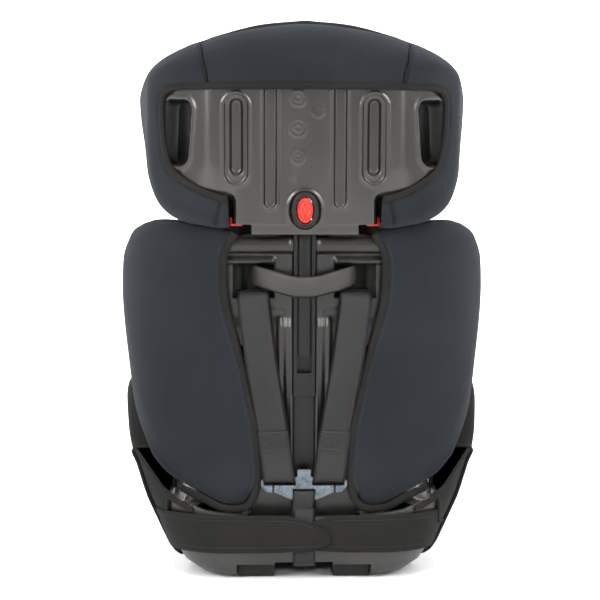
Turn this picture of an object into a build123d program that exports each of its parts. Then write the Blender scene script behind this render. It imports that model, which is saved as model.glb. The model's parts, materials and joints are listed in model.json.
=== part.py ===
from build123d import *
import math
import os

# Child car seat: a seat base with a reclining backrest and a height-adjustable headrest.
# Millimetres. +Z up, the child faces -Y, X is left and right. The seat stands on Z = 0.
# The backrest and headrest are drawn upright, then leaned back about the recline hinge.

# ---------------------------------------------------------------- driving dimensions
LEAN = 8.0                  # backrest lean from upright, degrees
RECLINE = 12.0              # how much further it reclines
HINGE_Y = 170.0             # recline hinge line
HINGE_Z = 72.0
CENTRE_SHIFT = -17.78       # moves the whole seat along Y so that its box is centred

SHELL_WALL = 10.0           # backrest shell
BOSS_HALF = 70.0            # thick middle of the backrest shell
BOSS_DEPTH = 20.0
SHELL_TOP = 391.0
TONGUE_HALF = 60.0          # part of the backrest shell that reaches the hinge
SLOT_IN = 34.0              # harness slots, from the middle
SLOT_OUT = 80.0
SLOT_LOW = 320.0
SLOT_HIGH = 358.0
SPARE_SLOT_Z = 258.0

HEAD_WALL = 9.0             # headrest shell
HEAD_TOP = 625.0
BUTTON_Z = 419.5
PITCH = 18.0                # headrest height steps
STEPS = 7
FIRST_STEP_Z = 260.0
LEVER_PIVOT_Y = 175.5
LEVER_PIVOT_Z = 330.0

PAD_SEAM = 96.0             # where the middle cushion meets the wing cushions

WEB_WIDE = 38.0             # harness webbing
WEB_NARROW = 25.0           # adjuster and link webbing
WEB_THICK = 1.5

PAN_Z = 88.0                # floor of the seat base
PAD_TOP = 121.0
BASE_WALL = 4.5
FLOOR_GAP = 4.0             # the base rim stands this far above the runners' soles
RUNNER_IN = 33.0
RUNNER_OUT = 75.0
RUNNER_HIGH = 16.0

YOKE_Z = 110.0
YOKE_Y = 187.0
YOKE_THICK = 3.0

# U-shaped plan sections of the two shells: rear face, half width of the flat back, radius of
# the bend, angle it turns through and the straight length of the wing past the bend
BACK_PLAN = (180.0, 75.0, 134.4, 68.4, 45.0)
HEAD_PLAN = (190.0, 80.0, 86.6, 79.0, 80.0)


# ---------------------------------------------------------------- drawing helpers
def slab_x(sketch, low, high):
    """A (y, z) outline between two X planes."""
    plane = Plane(origin=(low, 0, 0), x_dir=(0, 1, 0), z_dir=(1, 0, 0))
    return extrude(plane * sketch, high - low)


def slab_y(sketch, low, high):
    """An (x, z) outline between two Y planes."""
    plane = Plane(origin=(0, high, 0), x_dir=(1, 0, 0), z_dir=(0, -1, 0))
    return extrude(plane * sketch, high - low)


def slab_z(sketch, low, high):
    """An (x, y) outline between two Z planes."""
    return extrude(Pos(0, 0, low) * sketch, high - low)


def block(x, y, z):
    """A box from three (low, high) pairs."""
    size = [pair[1] - pair[0] for pair in (x, y, z)]
    middle = [(pair[1] + pair[0]) / 2 for pair in (x, y, z)]
    return Pos(*middle) * Box(*size)


def rod_x(radius, low, high, y, z):
    return Pos((low + high) / 2, y, z) * Rot(0, 90, 0) * Cylinder(radius, high - low)


def rod_y(radius, low, high, x, z):
    return Pos(x, (low + high) / 2, z) * Rot(90, 0, 0) * Cylinder(radius, high - low)


def rounded(points):
    """A closed outline from (u, v, corner radius) points."""
    corners = [(u, v) for u, v, radius in points]
    radii = [radius for u, v, radius in points]
    return make_face(FilletPolyline(corners, radius=radii, close=True))


def both_sides(points):
    """A closed outline from the points of its right half."""
    return rounded(points + [(-u, v, radius) for u, v, radius in reversed(points)])


def mirrored(shape):
    return mirror(shape, about=Plane.YZ)


def pair(part):
    """A right-hand piece and its mirror image as one part."""
    return part + mirrored(part)


def wing_points(plan, depth, extra):
    """Back corner, middle and end of the bend, and rim of a U, `depth` in front of its rear."""
    rear, flat, radius, turn_degrees, straight = plan
    turn = math.radians(turn_degrees)
    centre_y = rear - radius
    inner = radius - depth
    corner = (flat, centre_y + inner)
    middle = (flat + inner * math.sin(turn / 2), centre_y + inner * math.cos(turn / 2))
    end = (flat + inner * math.sin(turn), centre_y + inner * math.cos(turn))
    run = straight + extra
    rim = (end[0] + run * math.cos(turn), end[1] - run * math.sin(turn))
    return corner, middle, end, rim


def wing_band(plan, near, far, extra=0.0):
    """The plan of a U-shaped band between two depths in front of the rear face."""
    edges = []
    rims = []
    for depth in (near, far):
        corner, middle, end, rim = wing_points(plan, depth, extra)
        edges.append(Line((-corner[0], corner[1]), corner))
        for side in (1, -1):
            bend = [(side * x, y) for x, y in (corner, middle, end)]
            edges.append(ThreePointArc(*bend))
            edges.append(Line(bend[2], (side * rim[0], rim[1])))
        rims.append(rim)
    for side in (1, -1):
        edges.append(Line(*[(side * x, y) for x, y in rims]))
    return make_face(edges)


def ribbon(stations, width, thick):
    """Flat webbing through (centre, across, normal) stations."""
    rings = []
    for centre, across, normal in stations:
        half = Vector(*across).normalized() * (width / 2)
        rise = Vector(*normal).normalized() * (thick / 2)
        c = Vector(*centre)
        rings.append([c - half - rise, c + half - rise, c + half + rise, c - half + rise])
    faces = [Face(Wire.make_polygon(ring, close=True)) for ring in (rings[0], rings[-1])]
    for a, b in zip(rings, rings[1:]):
        for i in range(4):
            j = (i + 1) % 4
            faces.append(Face(Wire.make_polygon([a[i], a[j], b[j]], close=True)))
            faces.append(Face(Wire.make_polygon([a[i], b[j], b[i]], close=True)))
    solid = Solid(Shell(faces))
    return solid if solid.volume > 0 else -solid


def coil(radius, wire, height, turns):
    """A compression spring standing on Z = 0."""
    path = Helix(height / turns, height, radius)
    section = Plane(origin=path @ 0, z_dir=path % 0) * Circle(wire / 2)
    return sweep(section, path)


def lean(shape, angle=LEAN):
    """Leans an upright shape back about the recline hinge."""
    return Pos(0, HINGE_Y, HINGE_Z) * Rot(-angle, 0, 0) * Pos(0, -HINGE_Y, -HINGE_Z) * shape


def lean_point(x, y, z):
    angle = math.radians(LEAN)
    dy = y - HINGE_Y
    dz = z - HINGE_Z
    new_y = HINGE_Y + dy * math.cos(angle) + dz * math.sin(angle)
    new_z = HINGE_Z + dz * math.cos(angle) - dy * math.sin(angle)
    return (x, new_y, new_z)


# ---------------------------------------------------------------- backrest outlines
EAR_OUTER = [
    (76, 396, 10), (150, 405, 30), (194, 401, 34), (216, 345, 90), (214, 290, 90),
    (205, 205, 60), (194, 148, 40), (168, 112, 34), (110, 88, 40), (62, 80, 12),
]
EAR_INNER = [(52, 100, 12), (56, 185, 60), (72, 250, 80), (92, 320, 60), (90, 372, 40)]


def backrest_outline():
    """The padded backrest seen from behind, wings and middle together."""
    return both_sides(EAR_OUTER)


def backrest_shell_outline():
    tongue = HINGE_Z - BOSS_DEPTH / 2
    return both_sides([
        (76, SHELL_TOP, 12), (150, 396, 30), (186, 391, 30), (206, 343, 80), (205, 290, 80),
        (196, 208, 50), (184, 156, 36), (162, 122, 30), (104, 98, 20), (TONGUE_HALF, 94, 6),
        (TONGUE_HALF, tongue, 4),
    ])


def backrest_clearance():
    """Space the wings and their padding need inside the base, upright and reclined."""
    wings = both_sides(EAR_OUTER)
    band = slab_z(wing_band(BACK_PLAN, -14, 44, 30), 40, 460)
    upright = band & slab_y(offset(wings, 6), -50, 260)
    reclined = band & slab_y(offset(wings, 2), -50, 260)
    return lean(upright) + lean(reclined, LEAN + RECLINE)


def corner_clearance():
    """Keeps the rear corners of the base below the wing panels, seen from behind."""
    panel = offset(rounded(EAR_OUTER + EAR_INNER), 7)
    corner = slab_y(panel, 60, 300) & block((90, 260), (50, 310), (60, 450))
    return lean(pair(corner))


def harness_slots(y_low, y_high):
    slots = []
    for low, high in ((SLOT_LOW, SLOT_HIGH), (SPARE_SLOT_Z - 8, SPARE_SLOT_Z + 8)):
        outline = Pos((SLOT_IN + SLOT_OUT) / 2, (low + high) / 2) * RectangleRounded(
            SLOT_OUT - SLOT_IN, high - low, 5)
        slots.append(pair(slab_y(outline, y_low, y_high)))
    return slots[0] + slots[1]


# ---------------------------------------------------------------- backrest
def make_backrest_shell():
    outline = backrest_shell_outline()
    front = BACK_PLAN[0] - BOSS_DEPTH
    rear = BACK_PLAN[0]
    wings = slab_z(wing_band(BACK_PLAN, 0, SHELL_WALL), 80, 420)
    boss = block((-BOSS_HALF, BOSS_HALF), (front, rear), (HINGE_Z - 10, SHELL_TOP))
    shell = (wings + boss) & slab_y(outline, -20, 220)
    # the tongue is round about the hinge
    low = block((-80, 80), (front - 1, rear + 1), (HINGE_Z - 11, HINGE_Z))
    shell = shell - (low - rod_x(BOSS_DEPTH / 2, -90, 90, HINGE_Y, HINGE_Z))
    # T-slot for the headrest slider, open at the top
    cavity = block((-30, 30), (165, 172), (196, SHELL_TOP + 5))
    mouth = block((-12.4, 12.4), (171, rear + 1), (196, SHELL_TOP + 5))
    rack_seat = block((-10, 10), (162, 166), (246, 384))
    shell = shell - cavity - mouth - rack_seat
    # groove that carries on down below the T-slot
    shell = shell - block((-12.4, 12.4), (174, rear + 1), (96, 190))
    for z in (251, 378):
        shell = shell - rod_y(2, 158, 163, 0, z)
    shell = shell - harness_slots(140, 200)
    return shell - rod_x(5, -90, 90, HINGE_Y, HINGE_Z)


def make_height_rack():
    rack = block((-9.7, 9.7), (162, 165), (246.3, 383.7))
    for step in range(STEPS):
        z = FIRST_STEP_Z + PITCH * step
        rack = rack - block((-7, 7), (161, 166), (z - 3.6, z + 3.6))
    for z in (251, 378):
        rack = rack - rod_y(2, 160, 167, 0, z)
    return rack


def make_rack_rivets():
    rivets = []
    for z in (251, 378):
        rivets.append(rod_y(2, 159.8, 165.3, 0, z) + rod_y(3.4, 165, 165.8, 0, z))
    return Compound(rivets)


def backrest_padding():
    band = wing_band(BACK_PLAN, SHELL_WALL + 0.4, 36, 6)
    outline = both_sides(EAR_OUTER[:-2] + [(120, 100, 20), (84, 124, 10)])
    pad = slab_z(band, 80, 430) & slab_y(outline, -40, 220)
    return pad - block((-70.4, 70.4), (159.6, 200), (60, 450))


def make_backrest_pad():
    """Middle cushion of the backrest, with the slots for the harness in use."""
    middle = block((-PAD_SEAM, PAD_SEAM), (60, 220), (60, 450))
    return (backrest_padding() & middle) - harness_slots(120, 200)


def make_backrest_bolster(side):
    wing = block((PAD_SEAM + 0.4, 260), (-60, 220), (60, 450))
    bolster = backrest_padding() & wing
    return bolster if side > 0 else mirrored(bolster)


def make_ear_cover(side):
    """Padded fabric panel over the back of one wing."""
    outline = rounded(EAR_OUTER + EAR_INNER)
    band = wing_band(BACK_PLAN, -5.4, -0.4, 6)
    cover = slab_z(band, 70, 430) & slab_y(outline, -40, 220)
    return cover if side > 0 else mirrored(cover)


# ---------------------------------------------------------------- harness on the backrest
def strap_line(z):
    """Distance of a rear shoulder strap's middle from the centre line."""
    top = 326.0
    bottom = YOKE_Z
    return 27.2 + (57.0 - 27.2) * (z - bottom) / (top - bottom)


def make_rear_strap(side):
    points = [
        (57, 168, 327), (57, 179, 327), (57, 183.4, 325), (56.6, 185, 320),
        (strap_line(168), 185, 168), (strap_line(125), 185, 125), (strap_line(115), 185.3, 113.2),
        (strap_line(112), 188.5, 111.6), (strap_line(115), 191.7, 113.2),
        (strap_line(122), 191.4, 124), (strap_line(146), 186.9, 146), (strap_line(170), 186.8, 170),
    ]
    across = (1, 0, 0)
    turns = [
        (0, 0, 1), (0, 0, 1), (0, 1, 1), (0, 1, 0.1), (0, 1, 0), (0, 1, 0), (0, 1, 0.9),
        (0, 0, 1), (0, -1, 0.9), (0, -1, 0), (0, -1, 0), (0, -1, 0),
    ]
    strap = ribbon([(p, across, n) for p, n in zip(points, turns)], 35, 1.4)
    return strap if side > 0 else mirrored(strap)


def make_front_strap(side):
    points = [(57, 167.7, 327), (57, 147, 327), (56.5, 142.9, 323), (55, 142.4, 312),
              (42, 142.4, 236), (33, 128, 218), (26.5, 60, 178)]
    turns = [(0, 0, 1), (0, 0, 1), (0, -1, 1), (0, -1, 0), (0, -1, 0.15), (0, -1, 1),
             (0, -1, 1.5)]
    strap = ribbon([(p, (1, 0, 0), n) for p, n in zip(points, turns)], WEB_WIDE, WEB_THICK)
    return strap if side > 0 else mirrored(strap)


def make_shoulder_pad(side):
    pad = slab_y(RectangleRounded(56, 80, 14), 127, 141.3)
    pad = Pos(49.6, 0, 281) * Rot(0, 10.2, 0) * pad
    return pad if side > 0 else mirrored(pad)


def make_pad_link_strap():
    """Soft band that joins the shoulder pads through the slots, sagging behind the shell."""
    half = [(0, 183.6, 334.6), (22, 183.8, 337.2), (40, 182.6, 341), (52, 178, 343.4),
            (57, 169, 344.4), (58, 147, 345)]
    points = [(-x, y, z) for x, y, z in reversed(half[1:])] + half
    turns = []
    for x, y, z in points:
        bend = max(0.0, abs(x) - 40) / 18
        turns.append((math.copysign(bend, x), 1.02 - min(bend, 1.0), 0))
    stations = [(p, (0, 0, 1), n) for p, n in zip(points, turns)]
    return ribbon(stations, WEB_NARROW - 1, 1.0)


def make_adjuster_strap_upper():
    """From the yoke down to where it passes under the seat base."""
    points = [(0, 185.2, 87), (0, 185.2, 100), (0, 188.5, 103), (0, 191.8, 100), (0, 192, 84)]
    turns = [(0, 1, 0), (0, 1, -0.6), (0, 0, -1), (0, -1, -0.6), (0, -1, 0)]
    loop = ribbon([(p, (1, 0, 0), n) for p, n in zip(points, turns)], 24.4, 1.2)
    return loop


def make_yoke_plate():
    """Steel plate with two webbing slots open below and one for the adjuster strap."""
    outline = both_sides([
        (7.5, 17.5, 1.2), (7.5, 8.5, 2), (43, 8.5, 3), (48.5, 4, 3), (48.5, -2, 3),
        (42, -8.5, 2.5), (32, -9.5, 2), (22, -14, 2), (15, -17, 2),
    ])
    plate = slab_y(outline, YOKE_Y, YOKE_Y + YOKE_THICK)
    slot = slab_y(Pos(27.2, 1.5) * RectangleRounded(36.4, 5, 1.2), YOKE_Y - 1, YOKE_Y + 4)
    gap = slab_y(Pos(34.6, -5) * Rectangle(2.6, 12), YOKE_Y - 1, YOKE_Y + 4)
    strap_slot = slab_y(Pos(0, -7.2) * RectangleRounded(26, 4.4, 1), YOKE_Y - 1, YOKE_Y + 4)
    return Pos(0, 0, YOKE_Z) * (plate - pair(slot) - pair(gap) - strap_slot)


# ---------------------------------------------------------------- headrest
def headrest_outline():
    return both_sides([
        (40, HEAD_TOP, 90), (116, 603, 90), (156, 586, 30), (188, 545, 34), (187, 515, 80),
        (176, 440, 40), (162, 408, 14), (88, 401, 12),
    ])


def headrest_opening():
    """The part of the headrest shell that its cover leaves bare behind."""
    return both_sides([
        (150, 554, 12), (162, 536, 20), (160, 470, 30), (140, 436, 30), (92, 428, 16),
        (86, 380, 4),
    ])


def make_headrest_shell():
    outline = both_sides([
        (120, 598, 30), (150, 582, 30), (178, 545, 40), (174, 465, 40), (150, 420, 20),
        (80, 420, 8), (78, 402, 6), (61, 402, 2), (61, 391, 6),
    ])
    shell = slab_z(wing_band(HEAD_PLAN, 0, HEAD_WALL, -8), 380, 620)
    shell = shell & slab_y(outline, -20, 220)
    # hand recesses at the sides
    recess = rounded([(122, 530, 10), (150, 534, 8), (158, 522, 8), (150, 468, 8), (126, 474, 12)])
    shell = shell - pair(slab_y(recess, 60, 200))
    # button seat
    face = HEAD_PLAN[0]
    boss = Pos(0, BUTTON_Z) * Ellipse(21, 24.5)
    shell = shell + slab_y(boss, face - 1, face + 2)
    hole = Pos(0, BUTTON_Z) * Ellipse(9.4, 14.9)
    shell = shell - slab_y(hole, face - HEAD_WALL - 1, face + 5)
    return shell - block((-4.6, 4.6), (face - 12, face), (BUTTON_Z - 6.6, BUTTON_Z + 6.6))


def make_headrest_pad():
    outline = headrest_outline()
    band = wing_band(HEAD_PLAN, HEAD_WALL + 0.4, 38, 6)
    pad = slab_z(band, 390, 640) & slab_y(outline, -60, 220)
    roll = slab_z(wing_band(HEAD_PLAN, -6, 38, 6), 606, 640) & slab_y(outline, -60, 220)
    # the lower middle leaves room for the top of the backrest
    pad = pad - block((-84, 84), (150, 200), (380, 440))
    return pad + roll


def make_headrest_cover():
    """Padded fabric frame round the back of the headrest shell."""
    outline = headrest_outline()
    band = wing_band(HEAD_PLAN, -6, -0.4, 6)
    cover = slab_z(band, 390, 605.6) & slab_y(outline, -60, 220)
    return cover - slab_y(headrest_opening(), 60, 230)


def make_headrest_slider():
    flange = block((-29, 29), (166, 171), (210, 436))
    walls = pair(block((8, 12), (170, 181), (210, 436)))
    bridge = block((-12, 12), (171, 181), (210, 236))
    slider = flange + walls + bridge
    slider = slider - block((-8, 8), (165, 172), (248, 274))
    slider = slider - block((-8, 8), (165, 172), (384, 432))
    slider = slider - rod_x(2, -13, 13, LEVER_PIVOT_Y, LEVER_PIVOT_Z)
    slider = slider + pair(block((12, 29), (171, 181), (404, 436)))
    for side in (1, -1):
        slider = slider - rod_y(2.1, 164, 182, side * 21, 427)
    return slider


def make_slider_screws():
    screws = []
    for side in (1, -1):
        shank = rod_y(2.1, 166, 181, side * 21, 427)
        screws.append(shank + rod_y(4, 163.6, 166, side * 21, 427))
    return Compound(screws)


def make_button_bezel():
    face = HEAD_PLAN[0] + 2
    ring = slab_y(Pos(0, BUTTON_Z) * (Ellipse(15.5, 20.5) - Ellipse(9.4, 14.9)), face, face + 2)
    return ring


def make_release_button():
    face = HEAD_PLAN[0]
    cap = slab_y(Pos(0, BUTTON_Z) * Ellipse(9, 14.5), face - 4.5, face + 4.6)
    stem = block((-4.2, 4.2), (178.4, face - 4), (BUTTON_Z - 6, BUTTON_Z + 6))
    return cap + stem


def make_latch_lever():
    lever = block((-7, 7), (173, 178), (254, 427))
    lever = lever + block((-6, 6), (163, 174), (257, 263))
    # thinner above the pivot, where it swings towards the slider
    lever = lever - block((-8, 8), (172, 174.2), (LEVER_PIVOT_Z + 12, 430))
    lever = lever + rod_x(4.4, -7, 7, LEVER_PIVOT_Y, LEVER_PIVOT_Z)
    lever = lever - rod_x(2.05, -9, 9, LEVER_PIVOT_Y, LEVER_PIVOT_Z)
    return lever - rod_y(3.6, 170, 176, 0, 375)


def make_latch_spring():
    return Pos(0, 175.5, 375) * Rot(90, 0, 0) * coil(2.6, 0.7, 4.0, 3)


def make_latch_pin():
    return rod_x(2, -12, 12, LEVER_PIVOT_Y, LEVER_PIVOT_Z)


def make_shoulder_guide(side):
    """Open hook for the car's shoulder belt, reaching forward under the headrest."""
    tab = [(170, 401, 0), (170, 411, 2), (178, 411, 2), (178, 401, 1)]
    arm = [(116, 401, 3), (116, 427, 2), (121, 427, 2), (121, 404, 2), (171, 404, 0), (171, 401, 0)]
    guide = slab_x(rounded(tab), 69, 83) + slab_x(rounded(arm), 69, 83)
    return guide if side > 0 else mirrored(guide)


# ---------------------------------------------------------------- seat base
# height, half width, front, rear and corner radius of the base body
BASE_SECTIONS = [
    (FLOOR_GAP, 118, -194, 184, 50), (16, 136, -205, 191, 56), (36, 150, -211, 194, 62),
    (90, 176, -214, 194, 66), (150, 197, -214, 190, 66), (228, 209, -206, 182, 66),
]


def base_loft(grow):
    """The base body's outer form, grown or shrunk all round."""
    sections = []
    for z, half, front, rear, corner in BASE_SECTIONS:
        wide = 2 * (half + grow)
        deep = rear - front + 2 * grow
        outline = Pos(0, (rear + front) / 2) * RectangleRounded(wide, deep, corner + grow)
        sections.append(Pos(0, 0, z) * outline)
    return loft(sections, ruled=True)


def side_profile(grow):
    """The base seen from the side: front edge, armrests and low back."""
    outline = rounded([
        (-240, 1, 0), (-240, 98, 4), (-186, 102, 16), (-140, 158, 50), (-60, 200, 60),
        (20, 222, 60), (84, 222, 24), (150, 140, 20), (220, 104, 4), (220, 1, 0),
    ])
    if grow:
        outline = offset(outline, grow)
    return slab_x(outline, -260, 260)


def seat_space(grow):
    outline = both_sides([(170, 260, 1), (151, 160, 30), (147, PAN_Z, 12)])
    if grow:
        outline = offset(outline, grow)
    return slab_y(outline, -260, 260)


def pan_blank():
    """The pan between the armrests with its cross ribs, inside the outer moulding."""
    deck = block((-143, 143), (-230, 200), (PAN_Z - BASE_WALL, PAN_Z))
    for y in (-135, 0, 128):
        deck = deck + block((-143, 143), (y - 2, y + 2), (RUNNER_HIGH, PAN_Z - BASE_WALL))
    return deck & base_loft(-BASE_WALL) & side_profile(-BASE_WALL)


def back_recess():
    """Space behind the pan where the backrest tongue sits."""
    return block((-63, 63), (156, 186), (54, 130))


def make_seat_pan():
    pan = pan_blank() - backrest_clearance() - back_recess()
    pan = pan - block((-21, 21), (7.5, 14.5), (PAN_Z - 10, PAN_Z + 5))
    return pan - block((-24.3, 24.3), (-240, -200), (41.7, 76.3))


def make_seat_base():
    outer = base_loft(0) & side_profile(0)
    body = outer - seat_space(0)
    hollow = (base_loft(-BASE_WALL) & side_profile(-BASE_WALL)) - seat_space(BASE_WALL)
    opening = slab_z(Pos(0, -5) * RectangleRounded(190, 350, 30), -1, 30)
    shell = body - hollow - opening - pan_blank()
    shell = shell - backrest_clearance() - corner_clearance() - back_recess()
    # hinge lugs on a shelf that reaches the rear wall
    lug = slab_x(rounded([(157, 40, 0), (157, 82, 9), (180, 82, 9), (180, 40, 0)]), 64, 84)
    shelf = block((-84, 84), (150, 192), (44, 50))
    shell = shell + pair(lug) + shelf
    shell = shell - rod_x(5.05, -90, 90, HINGE_Y, HINGE_Z)
    # rear rim: runner notches and the passage for the adjuster strap
    shell = shell - pair(block((RUNNER_IN - 1, RUNNER_OUT + 1), (164, 210), (-1, RUNNER_HIGH)))
    shell = shell - block((-RUNNER_IN, RUNNER_IN), (170, 210), (-1, 19))
    # window for the harness adjuster
    return shell - block((-24.3, 24.3), (-240, -200), (41.7, 76.3))


def make_runner(side):
    outline = rounded([(-152, 0, 6), (-158, RUNNER_HIGH, 1), (182, RUNNER_HIGH, 1), (176, 0, 6)])
    runner = slab_x(outline, RUNNER_IN, RUNNER_OUT)
    return runner if side > 0 else mirrored(runner)


def make_seat_pad():
    plan = both_sides([(144, 140, 12), (144, -168, 50), (110, -214, 60)])
    pad = slab_z(plan, PAN_Z + 0.4, PAD_TOP)
    pad = pad & slab_y(both_sides([(143, PAD_TOP, 14), (144, PAN_Z + 0.4, 14)]), -230, 200)
    pad = pad - backrest_clearance() - block((-90, 90), (136, 200), (60, 140))
    return pad - block((-21, 21), (7.5, 14.5), (60, 140))


def make_side_cover(side):
    """Fabric skirt over an armrest and down the outside of the base."""
    skin = base_loft(2.2) & side_profile(2.2)
    cover = skin - (base_loft(0.3) & side_profile(0.3)) - seat_space(-2.4)
    cover = cover & block((90, 230), (-200, 150), (18, 240))
    cover = cover - backrest_clearance() - corner_clearance()
    cover = cover - block((80, 146), (-240, 160), (84, 250))
    return cover if side > 0 else mirrored(cover)


def make_rear_band(side):
    """Elastic band round the back of the base, its two ends crossing in the middle."""
    inner, outer = (4.4, 5.8) if side > 0 else (2.5, 3.9)
    skin = base_loft(outer) - base_loft(inner)
    reach = block((-26, 240), (100, 240), (32, 71))
    if side < 0:
        reach = block((-240, 12), (100, 240), (32, 71))
    return skin & reach


def make_hinge_pin():
    return rod_x(5, -84, 84, HINGE_Y, HINGE_Z)


def make_adjuster_strap_lower():
    """From behind the base under its rim and forward to the adjuster."""
    points = [(0, 193.6, 80), (0, 195.6, 68), (0, 195.8, 40), (0, 195.2, 22), (0, 190, 15.2),
              (0, 170, 14.4), (0, -152, 14.4), (0, -190, 36), (0, -202, 45)]
    turns = [(0, 1, 0.2), (0, 1, 0.1), (0, 1, 0), (0, 1, -0.3), (0, 0.6, -1), (0, 0, -1),
             (0, 0, -1), (0, -0.7, -1), (0, -0.6, -1)]
    return ribbon([(p, (1, 0, 0), n) for p, n in zip(points, turns)], 24.4, 1.2)


def make_adjuster_housing():
    housing = block((-24, 24), (-222, -203.2), (42, 76))
    flange = block((-28, 28), (-226, -218.6), (38, 80))
    housing = housing + flange
    housing = housing - block((-15.5, 15.5), (-230, -200), (52, 68))
    housing = housing - block((-14, 14), (-230, -200), (45, 49))
    return housing - rod_x(2, -30, 30, -212, 62)


def make_adjuster_lever():
    plate = slab_x(rounded([(-214, 59, 1), (-214, 65, 2), (-236, 66.4, 1.8), (-238, 62, 1.8)]), -15, 15)
    hub = rod_x(4, -15, 15, -212, 62)
    return plate + hub - rod_x(2.05, -20, 20, -212, 62)


def make_adjuster_pin():
    return rod_x(2, -24, 24, -212, 62)


def make_adjuster_spring():
    return Pos(0, -219, 52.4) * coil(2.8, 0.7, 6.0, 5)


def make_pull_strap():
    """Loose end of the adjuster strap, tucked back under the base."""
    points = [(0, -219, 47), (0, -228, 46), (0, -230.4, 40), (0, -230, 14), (0, -222, 3),
              (0, -208, 1.6), (0, -110, 1.6)]
    turns = [(0, 0, 1), (0, -1, 1), (0, -1, 0), (0, -1, -0.1), (0, -1, -1.6), (0, -0.1, -1),
             (0, 0, -1)]
    return ribbon([(p, (1, 0, 0), n) for p, n in zip(points, turns)], 24.4, 1.4)


# ---------------------------------------------------------------- buckle and lap straps
def make_crotch_strap():
    return block((-19, 19), (10.25, 11.75), (PAN_Z - 6, 134))


def make_crotch_anchor():
    return block((-24, 24), (8, 14), (PAN_Z - 12, PAN_Z - 6.2))


def make_crotch_pad():
    return slab_y(Pos(0, 164) * RectangleRounded(72, 82, 20), 26, 38)


def make_buckle_housing():
    outline = Pos(0, 165) * RectangleRounded(60, 62, 12)
    housing = slab_y(outline, 0, 22)
    housing = housing - block((-28, 28), (9, 13), (172, 200))
    housing = housing - slab_y(Pos(0, 158) * RectangleRounded(25, 25, 4), -1, 8)
    housing = housing - block((-19.4, 19.4), (9.8, 12.2), (130, 140))
    return housing


def make_buckle_button():
    return slab_y(Pos(0, 158) * RectangleRounded(24.2, 24.2, 3.6), -2, 3.4)


def make_buckle_spring():
    return Pos(0, 7.6, 158) * Rot(90, 0, 0) * coil(4, 0.8, 3.4, 2)


def make_tongue(side):
    plate = slab_y(Pos(14.6, 196) * RectangleRounded(25, 44, 3), 10, 12)
    plate = plate - slab_y(Pos(14.6, 209) * Rectangle(19, 4), 9, 13)
    return plate if side > 0 else mirrored(plate)


def make_lower_strap(side):
    """Shoulder strap between the tongue and the part that rides on the backrest."""
    start = lean_point(26.5, 60, 178)
    gap = 0.4
    points = [(15, 11, 218.8), (16.5, 16, 222), (start[0] - 0.1, start[1] - gap, start[2] - gap)]
    turns = [(0, -1, 0.2), (0, -1, 1), (0, -1, 1.2)]
    strap = ribbon([(p, (1, 0, 0), n) for p, n in zip(points, turns)], 24, WEB_THICK)
    return strap if side > 0 else mirrored(strap)


def make_lap_strap(side):
    points = [(35, 11, 213), (62, 36, 194), (110, 72, 160), (137.6, 88, 143)]
    turns = [(0.4, -1, 0), (0.6, -1, 0.1), (0.7, -1, 0.1), (1, -0.8, 0)]
    stations = [(p, (0.45, 0.1, 1), n) for p, n in zip(points, turns)]
    strap = ribbon(stations, WEB_WIDE - 6, WEB_THICK)
    return strap if side > 0 else mirrored(strap)


def make_lap_anchors():
    plate = slab_x(Pos(94, 140) * RectangleRounded(30, 40, 6), 145.4, 148.4)
    return Compound([plate, mirrored(plate)])


# ---------------------------------------------------------------- whole seat
SIDES = (("left", 1), ("right", -1))


def leaned_parts():
    parts = {
        "backrest_shell": make_backrest_shell(),
        "height_rack": make_height_rack(),
        "rack_rivets": make_rack_rivets(),
        "backrest_pad": make_backrest_pad(),
        "pad_link_strap": make_pad_link_strap(),
        "adjuster_strap_loop": make_adjuster_strap_upper(),
        "yoke_plate": make_yoke_plate(),
        "headrest_shell": make_headrest_shell(),
        "headrest_pad": make_headrest_pad(),
        "headrest_cover": make_headrest_cover(),
        "headrest_slider": make_headrest_slider(),
        "slider_screws": make_slider_screws(),
        "button_bezel": make_button_bezel(),
        "release_button": make_release_button(),
        "latch_lever": make_latch_lever(),
        "latch_spring": make_latch_spring(),
        "latch_pin": make_latch_pin(),
    }
    for name, side in SIDES:
        parts["ear_cover_" + name] = make_ear_cover(side)
        parts["backrest_bolster_" + name] = make_backrest_bolster(side)
        parts["shoulder_strap_rear_" + name] = make_rear_strap(side)
        parts["shoulder_strap_front_" + name] = make_front_strap(side)
        parts["shoulder_pad_" + name] = make_shoulder_pad(side)
        parts["shoulder_belt_guide_" + name] = make_shoulder_guide(side)
    return parts


def standing_parts():
    parts = {
        "seat_base_shell": make_seat_base(),
        "seat_pan": make_seat_pan(),
        "seat_pad": make_seat_pad(),
        "hinge_pin": make_hinge_pin(),
        "adjuster_strap_lower": make_adjuster_strap_lower(),
        "adjuster_housing": make_adjuster_housing(),
        "adjuster_lever": make_adjuster_lever(),
        "adjuster_pin": make_adjuster_pin(),
        "adjuster_spring": make_adjuster_spring(),
        "adjuster_pull_strap": make_pull_strap(),
        "crotch_strap": make_crotch_strap(),
        "crotch_anchor": make_crotch_anchor(),
        "crotch_pad": make_crotch_pad(),
        "buckle_housing": make_buckle_housing(),
        "buckle_button": make_buckle_button(),
        "buckle_spring": make_buckle_spring(),
        "lap_anchors": make_lap_anchors(),
    }
    for name, side in SIDES:
        parts["runner_" + name] = make_runner(side)
        parts["seat_side_cover_" + name] = make_side_cover(side)
        parts["rear_band_" + name] = make_rear_band(side)
        parts["harness_tongue_" + name] = make_tongue(side)
        parts["shoulder_strap_lower_" + name] = make_lower_strap(side)
        parts["lap_strap_" + name] = make_lap_strap(side)
    return parts


def main():
    os.makedirs("parts", exist_ok=True)
    parts = {name: lean(shape) for name, shape in leaned_parts().items()}
    parts.update(standing_parts())
    for name, shape in parts.items():
        export_step(Pos(0, CENTRE_SHIFT, 0) * shape, os.path.join("parts", name + ".step"))


main()
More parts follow.
